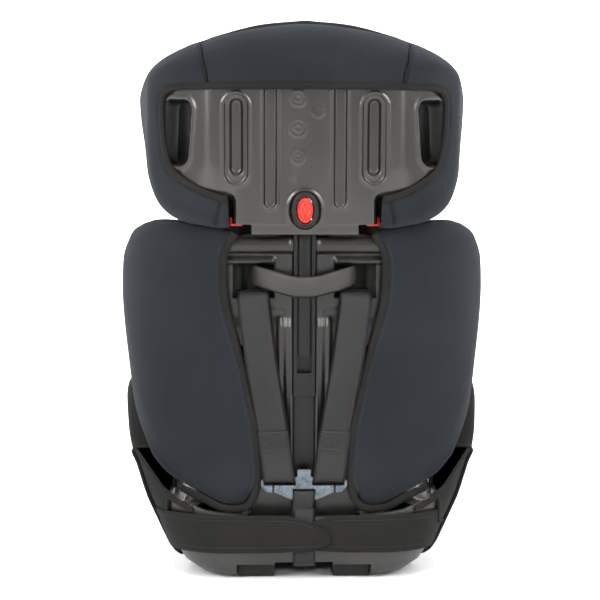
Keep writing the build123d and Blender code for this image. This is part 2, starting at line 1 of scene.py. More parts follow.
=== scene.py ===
"""Looks of a high-back child car seat with a harness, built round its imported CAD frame."""
import json
import math

import bmesh
import bpy
import numpy as np
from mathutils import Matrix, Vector

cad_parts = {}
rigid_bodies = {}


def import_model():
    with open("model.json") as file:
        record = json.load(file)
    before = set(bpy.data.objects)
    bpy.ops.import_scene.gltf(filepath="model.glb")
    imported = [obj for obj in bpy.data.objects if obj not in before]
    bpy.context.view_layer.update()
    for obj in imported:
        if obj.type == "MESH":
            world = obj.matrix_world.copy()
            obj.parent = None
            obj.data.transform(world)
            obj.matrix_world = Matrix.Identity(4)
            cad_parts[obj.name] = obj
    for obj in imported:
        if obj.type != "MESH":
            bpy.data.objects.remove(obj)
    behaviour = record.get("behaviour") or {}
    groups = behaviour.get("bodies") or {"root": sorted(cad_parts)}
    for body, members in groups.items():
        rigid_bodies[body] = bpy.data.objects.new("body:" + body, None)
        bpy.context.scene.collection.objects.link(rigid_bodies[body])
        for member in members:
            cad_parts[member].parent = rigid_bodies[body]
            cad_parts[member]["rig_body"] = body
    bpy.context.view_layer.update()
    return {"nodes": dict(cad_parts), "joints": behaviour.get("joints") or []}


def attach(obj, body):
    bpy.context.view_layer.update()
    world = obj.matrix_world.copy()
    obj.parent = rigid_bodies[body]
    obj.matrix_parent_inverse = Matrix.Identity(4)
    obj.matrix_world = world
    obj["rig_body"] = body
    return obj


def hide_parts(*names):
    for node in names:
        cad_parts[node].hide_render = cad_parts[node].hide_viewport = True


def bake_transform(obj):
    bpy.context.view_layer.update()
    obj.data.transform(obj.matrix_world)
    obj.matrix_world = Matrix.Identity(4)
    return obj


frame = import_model()
nodes = frame["nodes"]
joints = {joint["name"]: joint for joint in frame["joints"]}

MM = 0.001
SIDES = (("left", 1), ("right", -1))

# The backrest and headrest are drawn upright in millimetres and leaned back about the hinge.
HINGE_DRAWN_Y = 170.0
HINGE_DRAWN_Z = 72.0
hinge = joints["backrest_recline"]["pos_m"]
rise = joints["headrest_slide"]["axis"]
LEAN_SIN = rise[1] / math.hypot(rise[1], rise[2])
LEAN_COS = rise[2] / math.hypot(rise[1], rise[2])
BACKWARDS = (0, LEAN_COS, -LEAN_SIN)     # straight out of the rear of the leaned backrest
SHIFT_Y = hinge[1] - HINGE_DRAWN_Y * MM

# U-shaped plans: rear face, half width of the flat back, bend radius and turn
BACK_PLAN = (180.0, 75.0, 134.4, math.radians(68.4))
HEAD_PLAN = (190.0, 80.0, 86.6, math.radians(79.0))


# ---------------------------------------------------------------- drawing helpers
def leaned(points):
    """Upright millimetres of the backrest or headrest to the shared frame in metres."""
    p = np.asarray(points, float)
    dy = (p[..., 1] - HINGE_DRAWN_Y) * MM
    dz = (p[..., 2] - HINGE_DRAWN_Z) * MM
    y = hinge[1] + dy * LEAN_COS + dz * LEAN_SIN
    z = hinge[2] + dz * LEAN_COS - dy * LEAN_SIN
    return np.stack([p[..., 0] * MM, y, z], axis=-1)


def standing(points):
    """Millimetres of the seat base to the shared frame in metres."""
    p = np.asarray(points, float) * MM
    return p + np.array([0, SHIFT_Y, 0])


def plan_point(plan, s, depth):
    """(x, y) at arc length s along a U plan, `depth` in front of its rear face."""
    rear, flat, radius, turn = plan
    along = np.abs(s)
    bend = np.clip((along - flat) / radius, 0, turn)
    run = np.maximum(along - flat - radius * turn, 0)
    inner = radius - depth
    x = np.minimum(along, flat) + inner * np.sin(bend) + run * math.cos(turn)
    y = rear - radius + inner * np.cos(bend) - run * math.sin(turn)
    return np.sign(s) * x, y


def arc_from_x(plan, x, depth=-5.0):
    """Arc length along a U plan where its surface is x from the middle."""
    rear, flat, radius, turn = plan
    across = np.abs(x)
    inner = radius - depth
    bend = np.arcsin(np.clip((across - flat) / inner, 0, math.sin(turn)))
    run = np.maximum(across - flat - inner * math.sin(turn), 0) / math.cos(turn)
    return np.sign(x) * (np.minimum(across, flat) + radius * bend + run)


def on_plan(plan, s, z, depth):
    """Points of the shared frame at arc length s, height z and `depth` on a leaned U plan."""
    x, y = plan_point(plan, s, depth)
    return leaned(np.stack([x, y, np.broadcast_to(z, np.shape(x))], axis=-1))


def smooth_step(low, high, value):
    """0 up to `low`, 1 from `high` on and an even curve between them."""
    t = np.clip((value - low) / (high - low), 0, 1)
    return t * t * (3 - 2 * t)


def round_over(distance, radius):
    """1 at an edge and 0 from `radius` inwards, along a quarter circle."""
    t = 1 - np.clip(distance / radius, 0, 1)
    return 1 - np.sqrt(1 - t * t)


def spline(points, count):
    """Catmull-Rom curve through the points, sampled evenly along its length."""
    p = np.asarray(points, float)
    ends = np.vstack([2 * p[0] - p[1], p, 2 * p[-1] - p[-2]])
    dense = []
    for i in range(len(p) - 1):
        a, b, c, d = ends[i:i + 4]
        t = np.linspace(0, 1, 24, endpoint=False)[:, None]
        dense.append(0.5 * (2 * b + (c - a) * t + (2 * a - 5 * b + 4 * c - d) * t ** 2
                            + (3 * b - a - 3 * c + d) * t ** 3))
    return evenly(np.vstack(dense + [p[-1:]]), count)


def travelled(line):
    """How far along a line each of its points lies."""
    steps = np.linalg.norm(np.diff(line, axis=0), axis=1)
    return np.concatenate([[0], np.cumsum(steps)])


def evenly(line, count):
    """The same line with `count` points evenly spaced along it."""
    reach = travelled(line)
    at = np.linspace(0, reach[-1], count)
    return np.stack([np.interp(at, reach, line[:, k]) for k in range(line.shape[1])], axis=1)


def unit(vectors):
    return vectors / np.linalg.norm(vectors, axis=1)[:, None]


def softened(points, count, passes):
    """A straight-sided line with its corners worn round."""
    line = evenly(np.asarray(points, float), count)
    for _ in range(passes):
        line[1:-1] = (line[:-2] + 2 * line[1:-1] + line[2:]) / 4
    return line


def coons(bottom, top, inner, outer):
    """A grid of points filled in between four edge lines."""
    u = np.linspace(0, 1, len(bottom))[None, :, None]
    v = np.linspace(0, 1, len(inner))[:, None, None]
    ruled = (1 - v) * bottom[None] + v * top[None] + (1 - u) * inner[:, None] + u * outer[:, None]
    corners = ((1 - u) * (1 - v) * bottom[0] + u * (1 - v) * bottom[-1]
               + (1 - u) * v * top[0] + u * v * top[-1])
    return ruled - corners


def away_from(grid, line):
    """Distance of every grid point from a dense line."""
    flat = grid.reshape(-1, 2)
    best = np.full(len(flat), 1e9)
    for start in range(0, len(line), 40):
        part = line[start:start + 40]
        gap = np.linalg.norm(flat[:, None] - part[None], axis=2).min(axis=1)
        best = np.minimum(best, gap)
    return best.reshape(grid.shape[:2])


def obround(x, z, centre_x, low, high, half):
    """Signed distance from a tall round-ended outline, mirrored about the middle."""
    return np.hypot(np.abs(x) - centre_x, z - np.clip(z, low + half, high - half)) - half


def sunk(gap, deep, wall):
    """Depth of a recess with sloped walls `wall` wide round a signed distance."""
    return deep * (1 - smooth_step(-wall, 0, gap))


def boxed(x, z, x_low, x_high, z_low, z_high, radius):
    """Signed distance from a round-cornered box, mirrored about the middle."""
    dx = np.abs(np.abs(x) - (x_low + x_high) / 2) - (x_high - x_low) / 2 + radius
    dz = np.abs(z - (z_low + z_high) / 2) - (z_high - z_low) / 2 + radius
    return np.hypot(np.maximum(dx, 0), np.maximum(dz, 0)) + np.minimum(np.maximum(dx, dz), 0) - radius


# ---------------------------------------------------------------- mesh helpers
WELD = 2e-5               # points of a sheet this close, in metres, are one
SHORTEST = 1e-6


def linked(name, mesh):
    """A new object in the scene that shows a mesh."""
    made = bpy.data.objects.new(name, mesh)
    bpy.context.scene.collection.objects.link(made)
    return made


def shade_smooth(mesh):
    mesh.polygons.foreach_set("use_smooth", [True] * len(mesh.polygons))


def new_object(name, points, faces, materials, kinds=None, uvs=None, weld=0.0):
    """A smooth piece with outward normals; `kinds` says which material each face has."""
    mesh = bpy.data.meshes.new(name)
    mesh.from_pydata([tuple(p) for p in points], [], faces)
    for material in materials:
        mesh.materials.append(material)
    if kinds is not None:
        mesh.polygons.foreach_set("material_index", kinds)
    if uvs is not None:
        layer = mesh.uv_layers.new(name="UVMap")
        layer.data.foreach_set("uv", np.asarray(uvs, float).ravel())
    work = bmesh.new()
    work.from_mesh(mesh)
    if weld:
        bmesh.ops.remove_doubles(work, verts=work.verts, dist=weld)
        bmesh.ops.dissolve_degenerate(work, edges=work.edges, dist=SHORTEST)
    bmesh.ops.recalc_face_normals(work, faces=work.faces)
    work.to_mesh(mesh)
    work.free()
    shade_smooth(mesh)
    made = linked(name, mesh)
    return made


def closed_sheet(name, rear, front, materials, cells=None, kinds=None):
    """A closed solid between two grids, without the cells that are False."""
    rows, columns = rear.shape[:2]
    if cells is None:
        cells = np.ones((rows - 1, columns - 1), bool)
    if kinds is None:
        kinds = np.zeros((rows - 1, columns - 1), int)
    index = np.arange(rows * columns).reshape(rows, columns)
    back = rows * columns
    padded = np.zeros((rows + 1, columns + 1), bool)
    padded[1:-1, 1:-1] = cells
    faces = []
    face_kinds = []
    for i, j in zip(*np.nonzero(cells)):
        a, b, c, d = index[i, j], index[i, j + 1], index[i + 1, j + 1], index[i + 1, j]
        faces += [(a, b, c, d), (back + d, back + c, back + b, back + a)]
        face_kinds += [kinds[i, j]] * 2
        around = ((padded[i, j + 1], a, b), (padded[i + 1, j + 2], b, c),
                  (padded[i + 2, j + 1], c, d), (padded[i + 1, j], d, a))
        for beyond, p, q in around:
            if not beyond:
                faces.append((q, p, back + p, back + q))
                face_kinds.append(kinds[i, j])
    points = np.vstack([rear.reshape(-1, 3), front.reshape(-1, 3)])
    used = np.unique(np.concatenate([np.array(f) for f in faces]))
    place = np.full(len(points), -1)
    place[used] = np.arange(len(used))
    faces = [tuple(int(place[v]) for v in f) for f in faces]
    return new_object(name, points[used], faces, materials, face_kinds, weld=WELD)


RIBBON_COLUMNS = 8
RIBBON_SQUARENESS = 14    # how squarely the section of webbing ends


def ribbon(name, centres, across, normals, width, thick, material, cup=0.0):
    """Webbing in metres along centres; `cup` bows it across its width."""
    across = unit(across)
    normals = unit(normals - across * np.sum(across * normals, axis=1)[:, None])
    t = np.linspace(-1, 1, RIBBON_COLUMNS + 1)
    edge = np.sqrt(np.clip(1 - np.abs(t) ** RIBBON_SQUARENESS, 0, 1))
    ring_t = np.concatenate([t, t[::-1]])
    ring_n = np.concatenate([edge, -edge[::-1]]) * thick / 2 + cup * (1 - ring_t ** 2)
    wide = np.broadcast_to(width, len(centres))[:, None, None] / 2
    points = (centres[:, None] + across[:, None] * ring_t[None, :, None] * wide
              + normals[:, None] * ring_n[None, :, None])
    count = len(ring_t)
    reach = travelled(centres)
    half = float(np.mean(wide))
    faces = []
    uvs = []
    for i in range(len(centres) - 1):
        for j in range(count):
            k = (j + 1) % count
            faces.append((i * count + j, i * count + k, (i + 1) * count + k, (i + 1) * count + j))
            u, v = ring_t[j] * half, ring_t[k] * half
            uvs += [(u, reach[i]), (v, reach[i]), (v, reach[i + 1]), (u, reach[i + 1])]
    for end in (0, len(centres) - 1):
        for j in range(RIBBON_COLUMNS):
            a, b = end * count + j, end * count + j + 1
            c, d = end * count + count - 2 - j, end * count + count - 1 - j
            faces.append((a, b, c, d))
            uvs += [(ring_t[j] * half, reach[end])] * 4
    return new_object(name, points.reshape(-1, 3), faces, [material], uvs=uvs, weld=SHORTEST)


def webbing(name, stations, width, thick, material, place, count=60, cup=0.0):
    """Webbing through (centre, across, normal) stations in millimetres."""
    middles = np.array([centre for centre, across, normal in stations], float)
    turns = np.array([across + normal for centre, across, normal in stations], float)
    reach = travelled(middles)
    along = np.linspace(0, reach[-1], count)
    turns = np.stack([np.interp(along, reach, turns[:, k]) for k in range(6)], axis=1)
    origin = place(np.zeros((1, 3)))[0]
    return ribbon(name, place(spline(middles, count)), place(turns[:, :3]) - origin,
                  place(turns[:, 3:]) - origin, width * MM, thick * MM, material, cup=cup * MM)


def on_side(stations, side):
    """The same stations on the left (1) or mirrored to the right (-1)."""
    flip = np.array([side, 1, 1])
    return [tuple(tuple(flip * vector) for vector in station) for station in stations]


TUBE_END = 0.55           # width of a tube at its ends, as a share of its width


def tube(name, line, wide, thick, normals, materials, sides=10, closed=False):
    """A closed tube of oval section along a line in metres."""
    tangent = np.gradient(line, axis=0)
    if closed:
        tangent[0] = tangent[-1] = line[1] - line[-2]
    tangent = unit(tangent)
    normals = unit(normals - tangent * np.sum(tangent * normals, axis=1)[:, None])
    across = np.cross(tangent, normals)
    angle = np.linspace(0, 2 * math.pi, sides, endpoint=False)
    taper = np.ones(len(line))
    if not closed:
        taper[0] = taper[-1] = TUBE_END
    ring = (across[:, None] * np.cos(angle)[None, :, None] * wide
            + normals[:, None] * np.sin(angle)[None, :, None] * thick)
    points = line[:, None] + ring * taper[:, None, None]
    faces = []
    for i in range(len(line) - 1):
        for j in range(sides):
            k = (j + 1) % sides
            faces.append((i * sides + j, i * sides + k, (i + 1) * sides + k, (i + 1) * sides + j))
    faces.append(tuple(range(sides)))
    faces.append(tuple((len(line) - 1) * sides + j for j in range(sides)))
    return new_object(name, points.reshape(-1, 3), faces, materials)


def stitches(name, runs, normal, body, pitch=3.2 * MM, thread=0.35 * MM):
    """Rows of short thread dashes along lines in metres, in one piece; a body carries it if named."""
    normal = np.array(normal, float)
    points = []
    faces = []
    sides = 5
    angle = np.linspace(0, 2 * math.pi, sides, endpoint=False)
    for run in runs:
        length = np.linalg.norm(np.diff(run, axis=0), axis=1).sum()
        line = evenly(np.asarray(run, float), max(2, int(length / pitch)) * 2)
        for i in range(0, len(line) - 1, 2):
            a, b = line[i], line[i + 1]
            along = (b - a) / np.linalg.norm(b - a)
            across = np.cross(along, normal)
            first = len(points)
            for t, lift, size in ((0.0, -0.3, 0.6), (0.25, 0.5, 1), (0.75, 0.5, 1), (1, -0.3, 0.6)):
                centre = a + (b - a) * t * 1.3 + normal * thread * lift
                for turn in angle:
                    around = across * math.cos(turn) + normal * math.sin(turn)
                    points.append(centre + around * thread * size)
            for k in range(3):
                for j in range(sides):
                    n = (j + 1) % sides
                    base = first + k * sides
                    faces.append((base + j, base + n, base + sides + n, base + sides + j))
            faces.append(tuple(first + j for j in range(sides)))
            faces.append(tuple(first + 3 * sides + j for j in range(sides)))
    made = new_object(name, points, faces, [THREAD])
    if body:
        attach(made, body)
    return made


def baked(made):
    """Applies every modifier of a piece."""
    bpy.context.view_layer.update()
    solved = made.evaluated_get(bpy.context.evaluated_depsgraph_get())
    mesh = bpy.data.meshes.new_from_object(solved)
    made.modifiers.clear()
    made.data = mesh
    return made


def node_copy(node, name):
    """An unpainted copy of a CAD piece, shown instead of it."""
    mesh = nodes[node].data.copy()
    mesh.materials.clear()
    made = linked(name, mesh)
    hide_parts(node)
    return made


def painted(made, material):
    """Gives a copied piece its material."""
    made.data.materials.append(material)
    shade_smooth(made.data)


def hard_copy(node, material, bevel):
    """A copy of a hard CAD piece with edges worn `bevel` millimetres round."""
    made = node_copy(node, node + "_look")
    painted(made, material)
    work = bmesh.new()
    work.from_mesh(made.data)
    bmesh.ops.remove_doubles(work, verts=work.verts, dist=1e-5)
    bmesh.ops.dissolve_limit(work, angle_limit=math.radians(1.2), verts=work.verts, edges=work.edges)
    work.to_mesh(made.data)
    work.free()
    shade_smooth(made.data)
    modifier = made.modifiers.new("bevel", "BEVEL")
    modifier.width = bevel * MM
    modifier.segments = 2
    modifier.limit_method = "ANGLE"
    modifier.angle_limit = math.radians(32)
    modifier.harden_normals = False
    baked(made)
    made.data.set_sharp_from_angle(angle=math.radians(40))
    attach(made, nodes[node]["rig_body"])


def live_spring(node):
    """A copy of a coil in spring steel, its placement baked into its mesh."""
    made = node_copy(node, node + "_look")
    painted(made, SPRING)
    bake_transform(made)


CLOTH_FRAMES = 20
CLOTH_PRESSURE = 4.0


def swollen(made, cap):
    """Blows a closed mesh up as cloth; no point travels further than `cap` millimetres."""
    mesh = made.data
    start = np.zeros(len(mesh.vertices) * 3)
    end = start.copy()
    mesh.vertices.foreach_get("co", start)
    cloth = made.modifiers.new("cloth", "CLOTH")
    cloth.settings.quality = 4
    cloth.settings.use_pressure = True
    cloth.settings.uniform_pressure_force = CLOTH_PRESSURE
    cloth.settings.effector_weights.gravity = 0
    for step in range(1, CLOTH_FRAMES + 1):
        bpy.context.scene.frame_set(step)
    solved = made.evaluated_get(bpy.context.evaluated_depsgraph_get()).data
    solved.vertices.foreach_get("co", end)
    made.modifiers.clear()
    move = (end - start).reshape(-1, 3)
    size = np.linalg.norm(move, axis=1)[:, None]
    move = move * np.minimum(1, cap * MM / np.maximum(size, 1e-9))
    mesh.vertices.foreach_set("co", start + move.ravel())
    mesh.update()
    bpy.context.scene.frame_set(1)


def soft_copy(node, material, body, voxel, cap, shrink):
    """A stuffed copy of a CAD cushion, drawn in by `shrink` and swollen again as cloth."""
    made = node_copy(node, node)
    remesh = made.modifiers.new("remesh", "REMESH")
    remesh.mode = "VOXEL"
    remesh.voxel_size = voxel * MM
    ease = made.modifiers.new("ease", "SMOOTH")
    ease.iterations = 6
    baked(made)
    mesh = made.data
    start = np.zeros(len(mesh.vertices) * 3)
    mesh.vertices.foreach_get("co", start)
    normals = np.array([v.normal for v in mesh.vertices])
    mesh.vertices.foreach_set("co", start - normals.ravel() * shrink * MM)
    mesh.update()
    swollen(made, cap)
    rounded = made.modifiers.new("round", "SUBSURF")
    rounded.levels = 1
    rounded.render_levels = 1
    baked(made)
    painted(made, material)
    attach(made, body)


# ---------------------------------------------------------------- materials
def node_tree(name):
    """A new material: itself, its tree, its shader and its object and UV coordinates."""
    material = bpy.data.materials.new(name)
    material.use_nodes = True
    tree = material.node_tree
    shader = tree.nodes["Principled BSDF"]
    place = tree.nodes.new("ShaderNodeTexCoord")
    return material, tree, shader, place.outputs["Object"], place.outputs["UV"]


def scaled(tree, vector, scale):
    mapping = tree.nodes.new("ShaderNodeMapping")
    mapping.inputs["Scale"].default_value = scale
    tree.links.new(vector, mapping.inputs["Vector"])
    return mapping.outputs["Vector"]


def noise(tree, vector, scale, detail=3.0, rough=0.55):
    made = tree.nodes.new("ShaderNodeTexNoise")
    made.inputs["Scale"].default_value = scale
    made.inputs["Detail"].default_value = detail
    made.inputs["Roughness"].default_value = rough
    tree.links.new(vector, made.inputs["Vector"])
    return made.outputs["Fac"]


def wave(tree, vector, scale, direction, distortion=0.0):
    made = tree.nodes.new("ShaderNodeTexWave")
    made.wave_type = "BANDS"
    made.bands_direction = direction
    made.inputs["Scale"].default_value = scale
    made.inputs["Distortion"].default_value = distortion
    tree.links.new(vector, made.inputs["Vector"])
    return made.outputs["Fac"]


def maths(tree, operation, a, b):
    made = tree.nodes.new("ShaderNodeMath")
    made.operation = operation
    for socket, value in zip(made.inputs, (a, b)):
        if isinstance(value, (int, float)):
            socket.default_value = value
        else:
            tree.links.new(value, socket)
    return made.outputs["Value"]


def mixed(tree, a, share_a, b, share_b):
    return maths(tree, "ADD", maths(tree, "MULTIPLY", a, share_a), maths(tree, "MULTIPLY", b, share_b))


def ramp(tree, factor, low, high, dark, light):
    made = tree.nodes.new("ShaderNodeValToRGB")
    made.color_ramp.elements[0].position = low
    made.color_ramp.elements[1].position = high
    made.color_ramp.elements[0].color = dark
    made.color_ramp.elements[1].color = light
    tree.links.new(factor, made.inputs["Fac"])
    return made.outputs["Color"]


def bump(tree, shader, height, strength, distance):
    made = tree.nodes.new("ShaderNodeBump")
    made.inputs["Strength"].default_value = strength
    made.inputs["Distance"].default_value = distance
    tree.links.new(height, made.inputs["Height"])
    tree.links.new(made.outputs["Normal"], shader.inputs["Normal"])


def linear(code):
    """A hex colour as linear RGBA."""
    parts = [int(code[i:i + 2], 16) / 255 for i in (1, 3, 5)]
    return tuple(c / 12.92 if c <= 0.04045 else ((c + 0.055) / 1.055) ** 2.4 for c in parts) + (1,)


def fabric(name, dark, light, sheen, rough=0.9, knit=900.0):
    """Fine knitted cover fabric: crossed ribs, flecked yarn and a soft nap."""
    material, tree, shader, place, uv = node_tree(name)
    rib_x = wave(tree, place, knit, "X", 1.5)
    rib_z = wave(tree, place, knit * 0.8, "Z", 1.5)
    rib_y = wave(tree, place, knit, "Y", 1.5)
    fleck = noise(tree, place, 1400, 2, 0.7)
    cloud = noise(tree, place, 9, 4)
    ribs = maths(tree, "MULTIPLY", maths(tree, "ADD", rib_x, rib_y), rib_z)
    tone = mixed(tree, fleck, 0.55, cloud, 0.45)
    tree.links.new(ramp(tree, tone, 0.3, 0.72, linear(dark), linear(light)), shader.inputs["Base Color"])
    shader.inputs["Roughness"].default_value = rough
    shader.inputs["Specular IOR Level"].default_value = 0.12
    shader.inputs["Sheen Weight"].default_value = sheen
    shader.inputs["Sheen Roughness"].default_value = 0.45
    shader.inputs["Sheen Tint"].default_value = (0.78, 0.84, 0.9, 1)
    height = maths(tree, "ADD", ribs, maths(tree, "MULTIPLY", fleck, 0.8))
    bump(tree, shader, height, 0.35, 0.0004)
    return material


SCUFF = 0.12              # how much the roughness of plastic varies


def plastic(name, dark, light, rough, streak=0.0, gloss=0.5):
    """Moulded plastic, blow-moulded streaks running up it where streak is set."""
    material, tree, shader, place, uv = node_tree(name)
    along = scaled(tree, place, (900, 900, 14))
    fine = noise(tree, along, 1.0, 5, 0.7)
    broad = noise(tree, scaled(tree, place, (55, 55, 3.5)), 1.0, 3, 0.5)
    lines = mixed(tree, fine, 0.35, broad, 0.65)
    cloud = noise(tree, place, 14, 5)
    grain = noise(tree, place, 700, 2)
    tone = mixed(tree, lines, streak, cloud, 1 - streak)
    tree.links.new(ramp(tree, tone, 0.28, 0.74, linear(dark), linear(light)), shader.inputs["Base Color"])
    shine = maths(tree, "ADD", rough - 0.08, maths(tree, "MULTIPLY", cloud, SCUFF))
    tree.links.new(shine, shader.inputs["Roughness"])
    shader.inputs["Specular IOR Level"].default_value = gloss
    bump(tree, shader, mixed(tree, fine, streak, grain, 0.25), 0.22, 0.0002)
    return material


def woven(name, dark, light, rough, gloss):
    """Polyester webbing: ribs across the strap and fine warp along it, from the strap's own UV."""
    material, tree, shader, place, uv = node_tree(name)
    across = wave(tree, uv, 420, "Y", 0.6)
    warp = wave(tree, uv, 260, "X", 0.4)
    fleck = noise(tree, place, 500, 3)
    cloud = noise(tree, place, 30, 3)
    tone = mixed(tree, warp, 0.25, fleck, 0.35)
    tone = maths(tree, "ADD", tone, maths(tree, "MULTIPLY", cloud, 0.4))
    tree.links.new(ramp(tree, tone, 0.25, 0.75, linear(dark), linear(light)), shader.inputs["Base Color"])
    shader.inputs["Roughness"].default_value = rough
    shader.inputs["Specular IOR Level"].default_value = gloss
    bump(tree, shader, maths(tree, "ADD", across, warp), 0.4, 0.0004)
    return material


def metal(name, dark, light, rough):
    """Plated steel with tumbled speckle."""
    material, tree, shader, place, uv = node_tree(name)
    mottle = noise(tree, place, 420, 6, 0.75)
    cloud = noise(tree, place, 60, 3)
    tone = mixed(tree, mottle, 0.6, cloud, 0.4)
    tree.links.new(ramp(tree, tone, 0.35, 0.65, linear(dark), linear(light)), shader.inputs["Base Color"])
    shader.inputs["Metallic"].default_value = 1.0
    tree.links.new(maths(tree, "ADD", rough - 0.1, maths(tree, "MULTIPLY", mottle, 0.2)),
                   shader.inputs["Roughness"])
    bump(tree, shader, mottle, 0.15, 0.0002)
    return material


def paper(name, shade):
    """Plain matt studio backdrop."""
    material, tree, shader, place, uv = node_tree(name)
    tone = noise(tree, place, 2, 2)
    tree.links.new(ramp(tree, tone, 0, 1, (shade - 0.01,) * 3 + (1,), (shade,) * 3 + (1,)),
                   shader.inputs["Base Color"])
    shader.inputs["Roughness"].default_value = 0.95
    shader.inputs["Specular IOR Level"].default_value = 0.1
    return material


NAVY = fabric("navy knit", "#101215", "#22262b", 0.07)
BLACK = fabric("black mesh fabric", "#0f0f0e", "#22211f", 0.03, knit=600.0)
BINDING = fabric("elastic binding", "#11100f", "#24221f", 0.03, knit=1100.0)
THREAD = fabric("sewing thread", "#242528", "#46474c", 0.03, knit=1500.0)
SHELL = plastic("shell plastic", "#090807", "#2b2824", 0.27, streak=0.6, gloss=0.6)
# The backrest shell uses a darker copy of the shell plastic, painted shade over the whole backrest shell.
SHADED_BACK_SHELL = plastic("backrest plastic", "#080706", "#1b1916", 0.34, streak=0.5, gloss=0.4)
BASE = plastic("base plastic", "#12110f", "#2b2926", 0.42, streak=0.25)
# Black plastic of the small parts, also used as painted shade in the hand recesses and the slider channel.
DARK = plastic("black plastic", "#060605", "#0f0e0d", 0.42, gloss=0.25)
RED = plastic("red plastic", "#b3150f", "#d62c20", 0.33)
RUBBER = plastic("rubber foot", "#0e0d0c", "#1d1b19", 0.7, gloss=0.3)
WEB = woven("harness webbing", "#070707", "#141315", 0.44, 0.3)
SATIN = woven("satin link webbing", "#1a1918", "#36342f", 0.42, 0.35)
ZINC = metal("zinc steel", "#31373d", "#737b83", 0.3)
SPRING = metal("spring steel", "#55565a", "#9a9ca0", 0.3)


# ---------------------------------------------------------------- backrest wing panels
# Right-hand outline of a wing panel seen from behind, as (x, z)
EAR_TOP = [(77, 393), (92, 398), (125, 403), (160, 405), (186, 403), (202, 395)]
EAR_OUTER = [(180, 126), (192, 155), (201, 187), (208, 238), (213, 290), (214.6, 330),
             (212, 368), (202, 395)]
EAR_BOTTOM = [(57, 92), (64, 83.5), (75, 80), (94, 81.5), (117, 92), (141, 101), (162, 110),
              (180, 126)]
EAR_INNER = [(57, 92), (50.5, 118), (52.6, 145), (56, 180), (61.6, 204), (67, 236), (73, 257),
             (81, 286), (88.5, 314), (91, 349), (89, 372), (77, 393)]
RIM_DEPTH = 15.0          # where rear covers meet the front cushions, inside the rim
COVER_DEPTH = -6.0        # outer face of the rear covers
COVER_INSIDE = -0.5       # inner face of the rear covers, just off the shell
EAR_SEAM = 6.5            # stitches this far from the inner edge of a wing panel


def on_arc(plan, points):
    """(x, z) points of a rear view as (arc length, z)."""
    p = np.asarray(points, float)
    return np.stack([arc_from_x(plan, p[:, 0]), p[:, 1]], axis=1)


def cover_depths(edge, inner, puff, rim_radius=20.0, inner_radius=8.0, reach=40.0):
    """Outer and inner depth of a rear cover from its distances to the rim and opening."""
    swell = puff * smooth_step(0, reach, edge) * smooth_step(0, reach, inner)
    outer = COVER_DEPTH - swell
    outer = outer + np.maximum((RIM_DEPTH - outer) * round_over(edge, rim_radius),
                               (COVER_INSIDE - outer) * round_over(inner, inner_radius))
    under = COVER_INSIDE + (RIM_DEPTH - COVER_INSIDE) * (1 - smooth_step(0, 9, edge))
    return outer, np.maximum(under, outer)


def edging(name, plan, line, depth, radii, body, sides=10):
    """Binding laid along a line of (arc length, z) points at a depth on a plan."""
    place = on_plan(plan, line[:, 0], line[:, 1], depth)
    out = on_plan(plan, line[:, 0], line[:, 1], depth - 6.0) - place
    made = tube(name, place, radii[0] * MM, radii[1] * MM, out, [BINDING], sides=sides)
    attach(made, body)


def ear_cover(name, side):
    """Rear cover of a wing panel with its elastic binding and a row of stitches."""
    top = on_arc(BACK_PLAN, spline(EAR_TOP, 76))
    bottom = on_arc(BACK_PLAN, spline(EAR_BOTTOM, 76))
    outer = on_arc(BACK_PLAN, spline(EAR_OUTER, 110))
    inner = on_arc(BACK_PLAN, spline(EAR_INNER, 110))
    grid = coons(bottom, top, inner, outer)
    rim = np.vstack([top, outer[::-1], bottom[::-1]])
    corners = np.vstack([top[6:], outer, bottom[20:]])
    edge = np.minimum(away_from(grid, evenly(rim, 500)), away_from(grid, corners))
    opening = away_from(grid, inner)
    depth, under = cover_depths(edge, opening, 5.0)
    # slack at the inner edge, where the cover is pulled towards the straps
    s, z = grid[..., 0], grid[..., 1]
    depth = depth + 0.5 * np.sin(z / 23 + s / 60) * smooth_step(10, 50, opening)
    rear = on_plan(BACK_PLAN, s * side, z, depth)
    front = on_plan(BACK_PLAN, s * side, z, under)
    made = closed_sheet("ear_cover_" + name, rear, front, [NAVY])
    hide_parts("ear_cover_" + name)
    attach(made, "backrest")
    foot = on_arc(BACK_PLAN, spline(EAR_BOTTOM[:6], 60))
    hem = evenly(np.vstack([foot[::-1], inner[1:]]), 150) * (side, 1)
    edging("ear_binding_" + name, BACK_PLAN, hem, -3.2, (4.6, 3.0), "backrest")
    seam = (evenly(inner, 120)[4:-6] + (EAR_SEAM, 0)) * (side, 1)
    seam_line = on_plan(BACK_PLAN, seam[:, 0], seam[:, 1], -5.9)
    stitches("ear_stitching_" + name, [seam_line], BACKWARDS, "backrest")


for side_name, side_sign in SIDES:
    ear_cover(side_name, side_sign)


# ---------------------------------------------------------------- headrest rear cover
# Right-hand stations round the headrest opening, each (opening x, z) and (outline x, z)
FRAME_STATIONS = [
    ((85, 431), (83.5, 400)), ((95, 432.5), (97, 399)), ((115, 439), (118, 401)),
    ((139, 452), (146, 404)), ((151, 463), (163, 413)), ((157, 480), (172, 437)),
    ((160, 500), (178, 470)), ((161, 522), (185, 500)), ((160, 538), (188.5, 534)),
    ((155, 549), (186, 562)), ((144, 553.6), (172, 583)), ((120, 554), (146, 595)),
    ((105, 554.3), (117, 602)), ((90, 554.6), (98, 607)), ((45, 555), (50, 616.5)),
    ((0, 555.3), (0, 621)),
]
# Seams on the right half, each from (x, z) to (x, z)
HEAD_SEAM = ((107, 559), (115, 600))
HEAD_CHEEK = ((99, 402), (94, 428))


def both_ways(half):
    """A left-to-right line from the right half that ends on the centre line."""
    half = np.asarray(half, float)
    left = half.copy()
    left[:, 0] *= -1
    return np.vstack([left, half[-2::-1]])


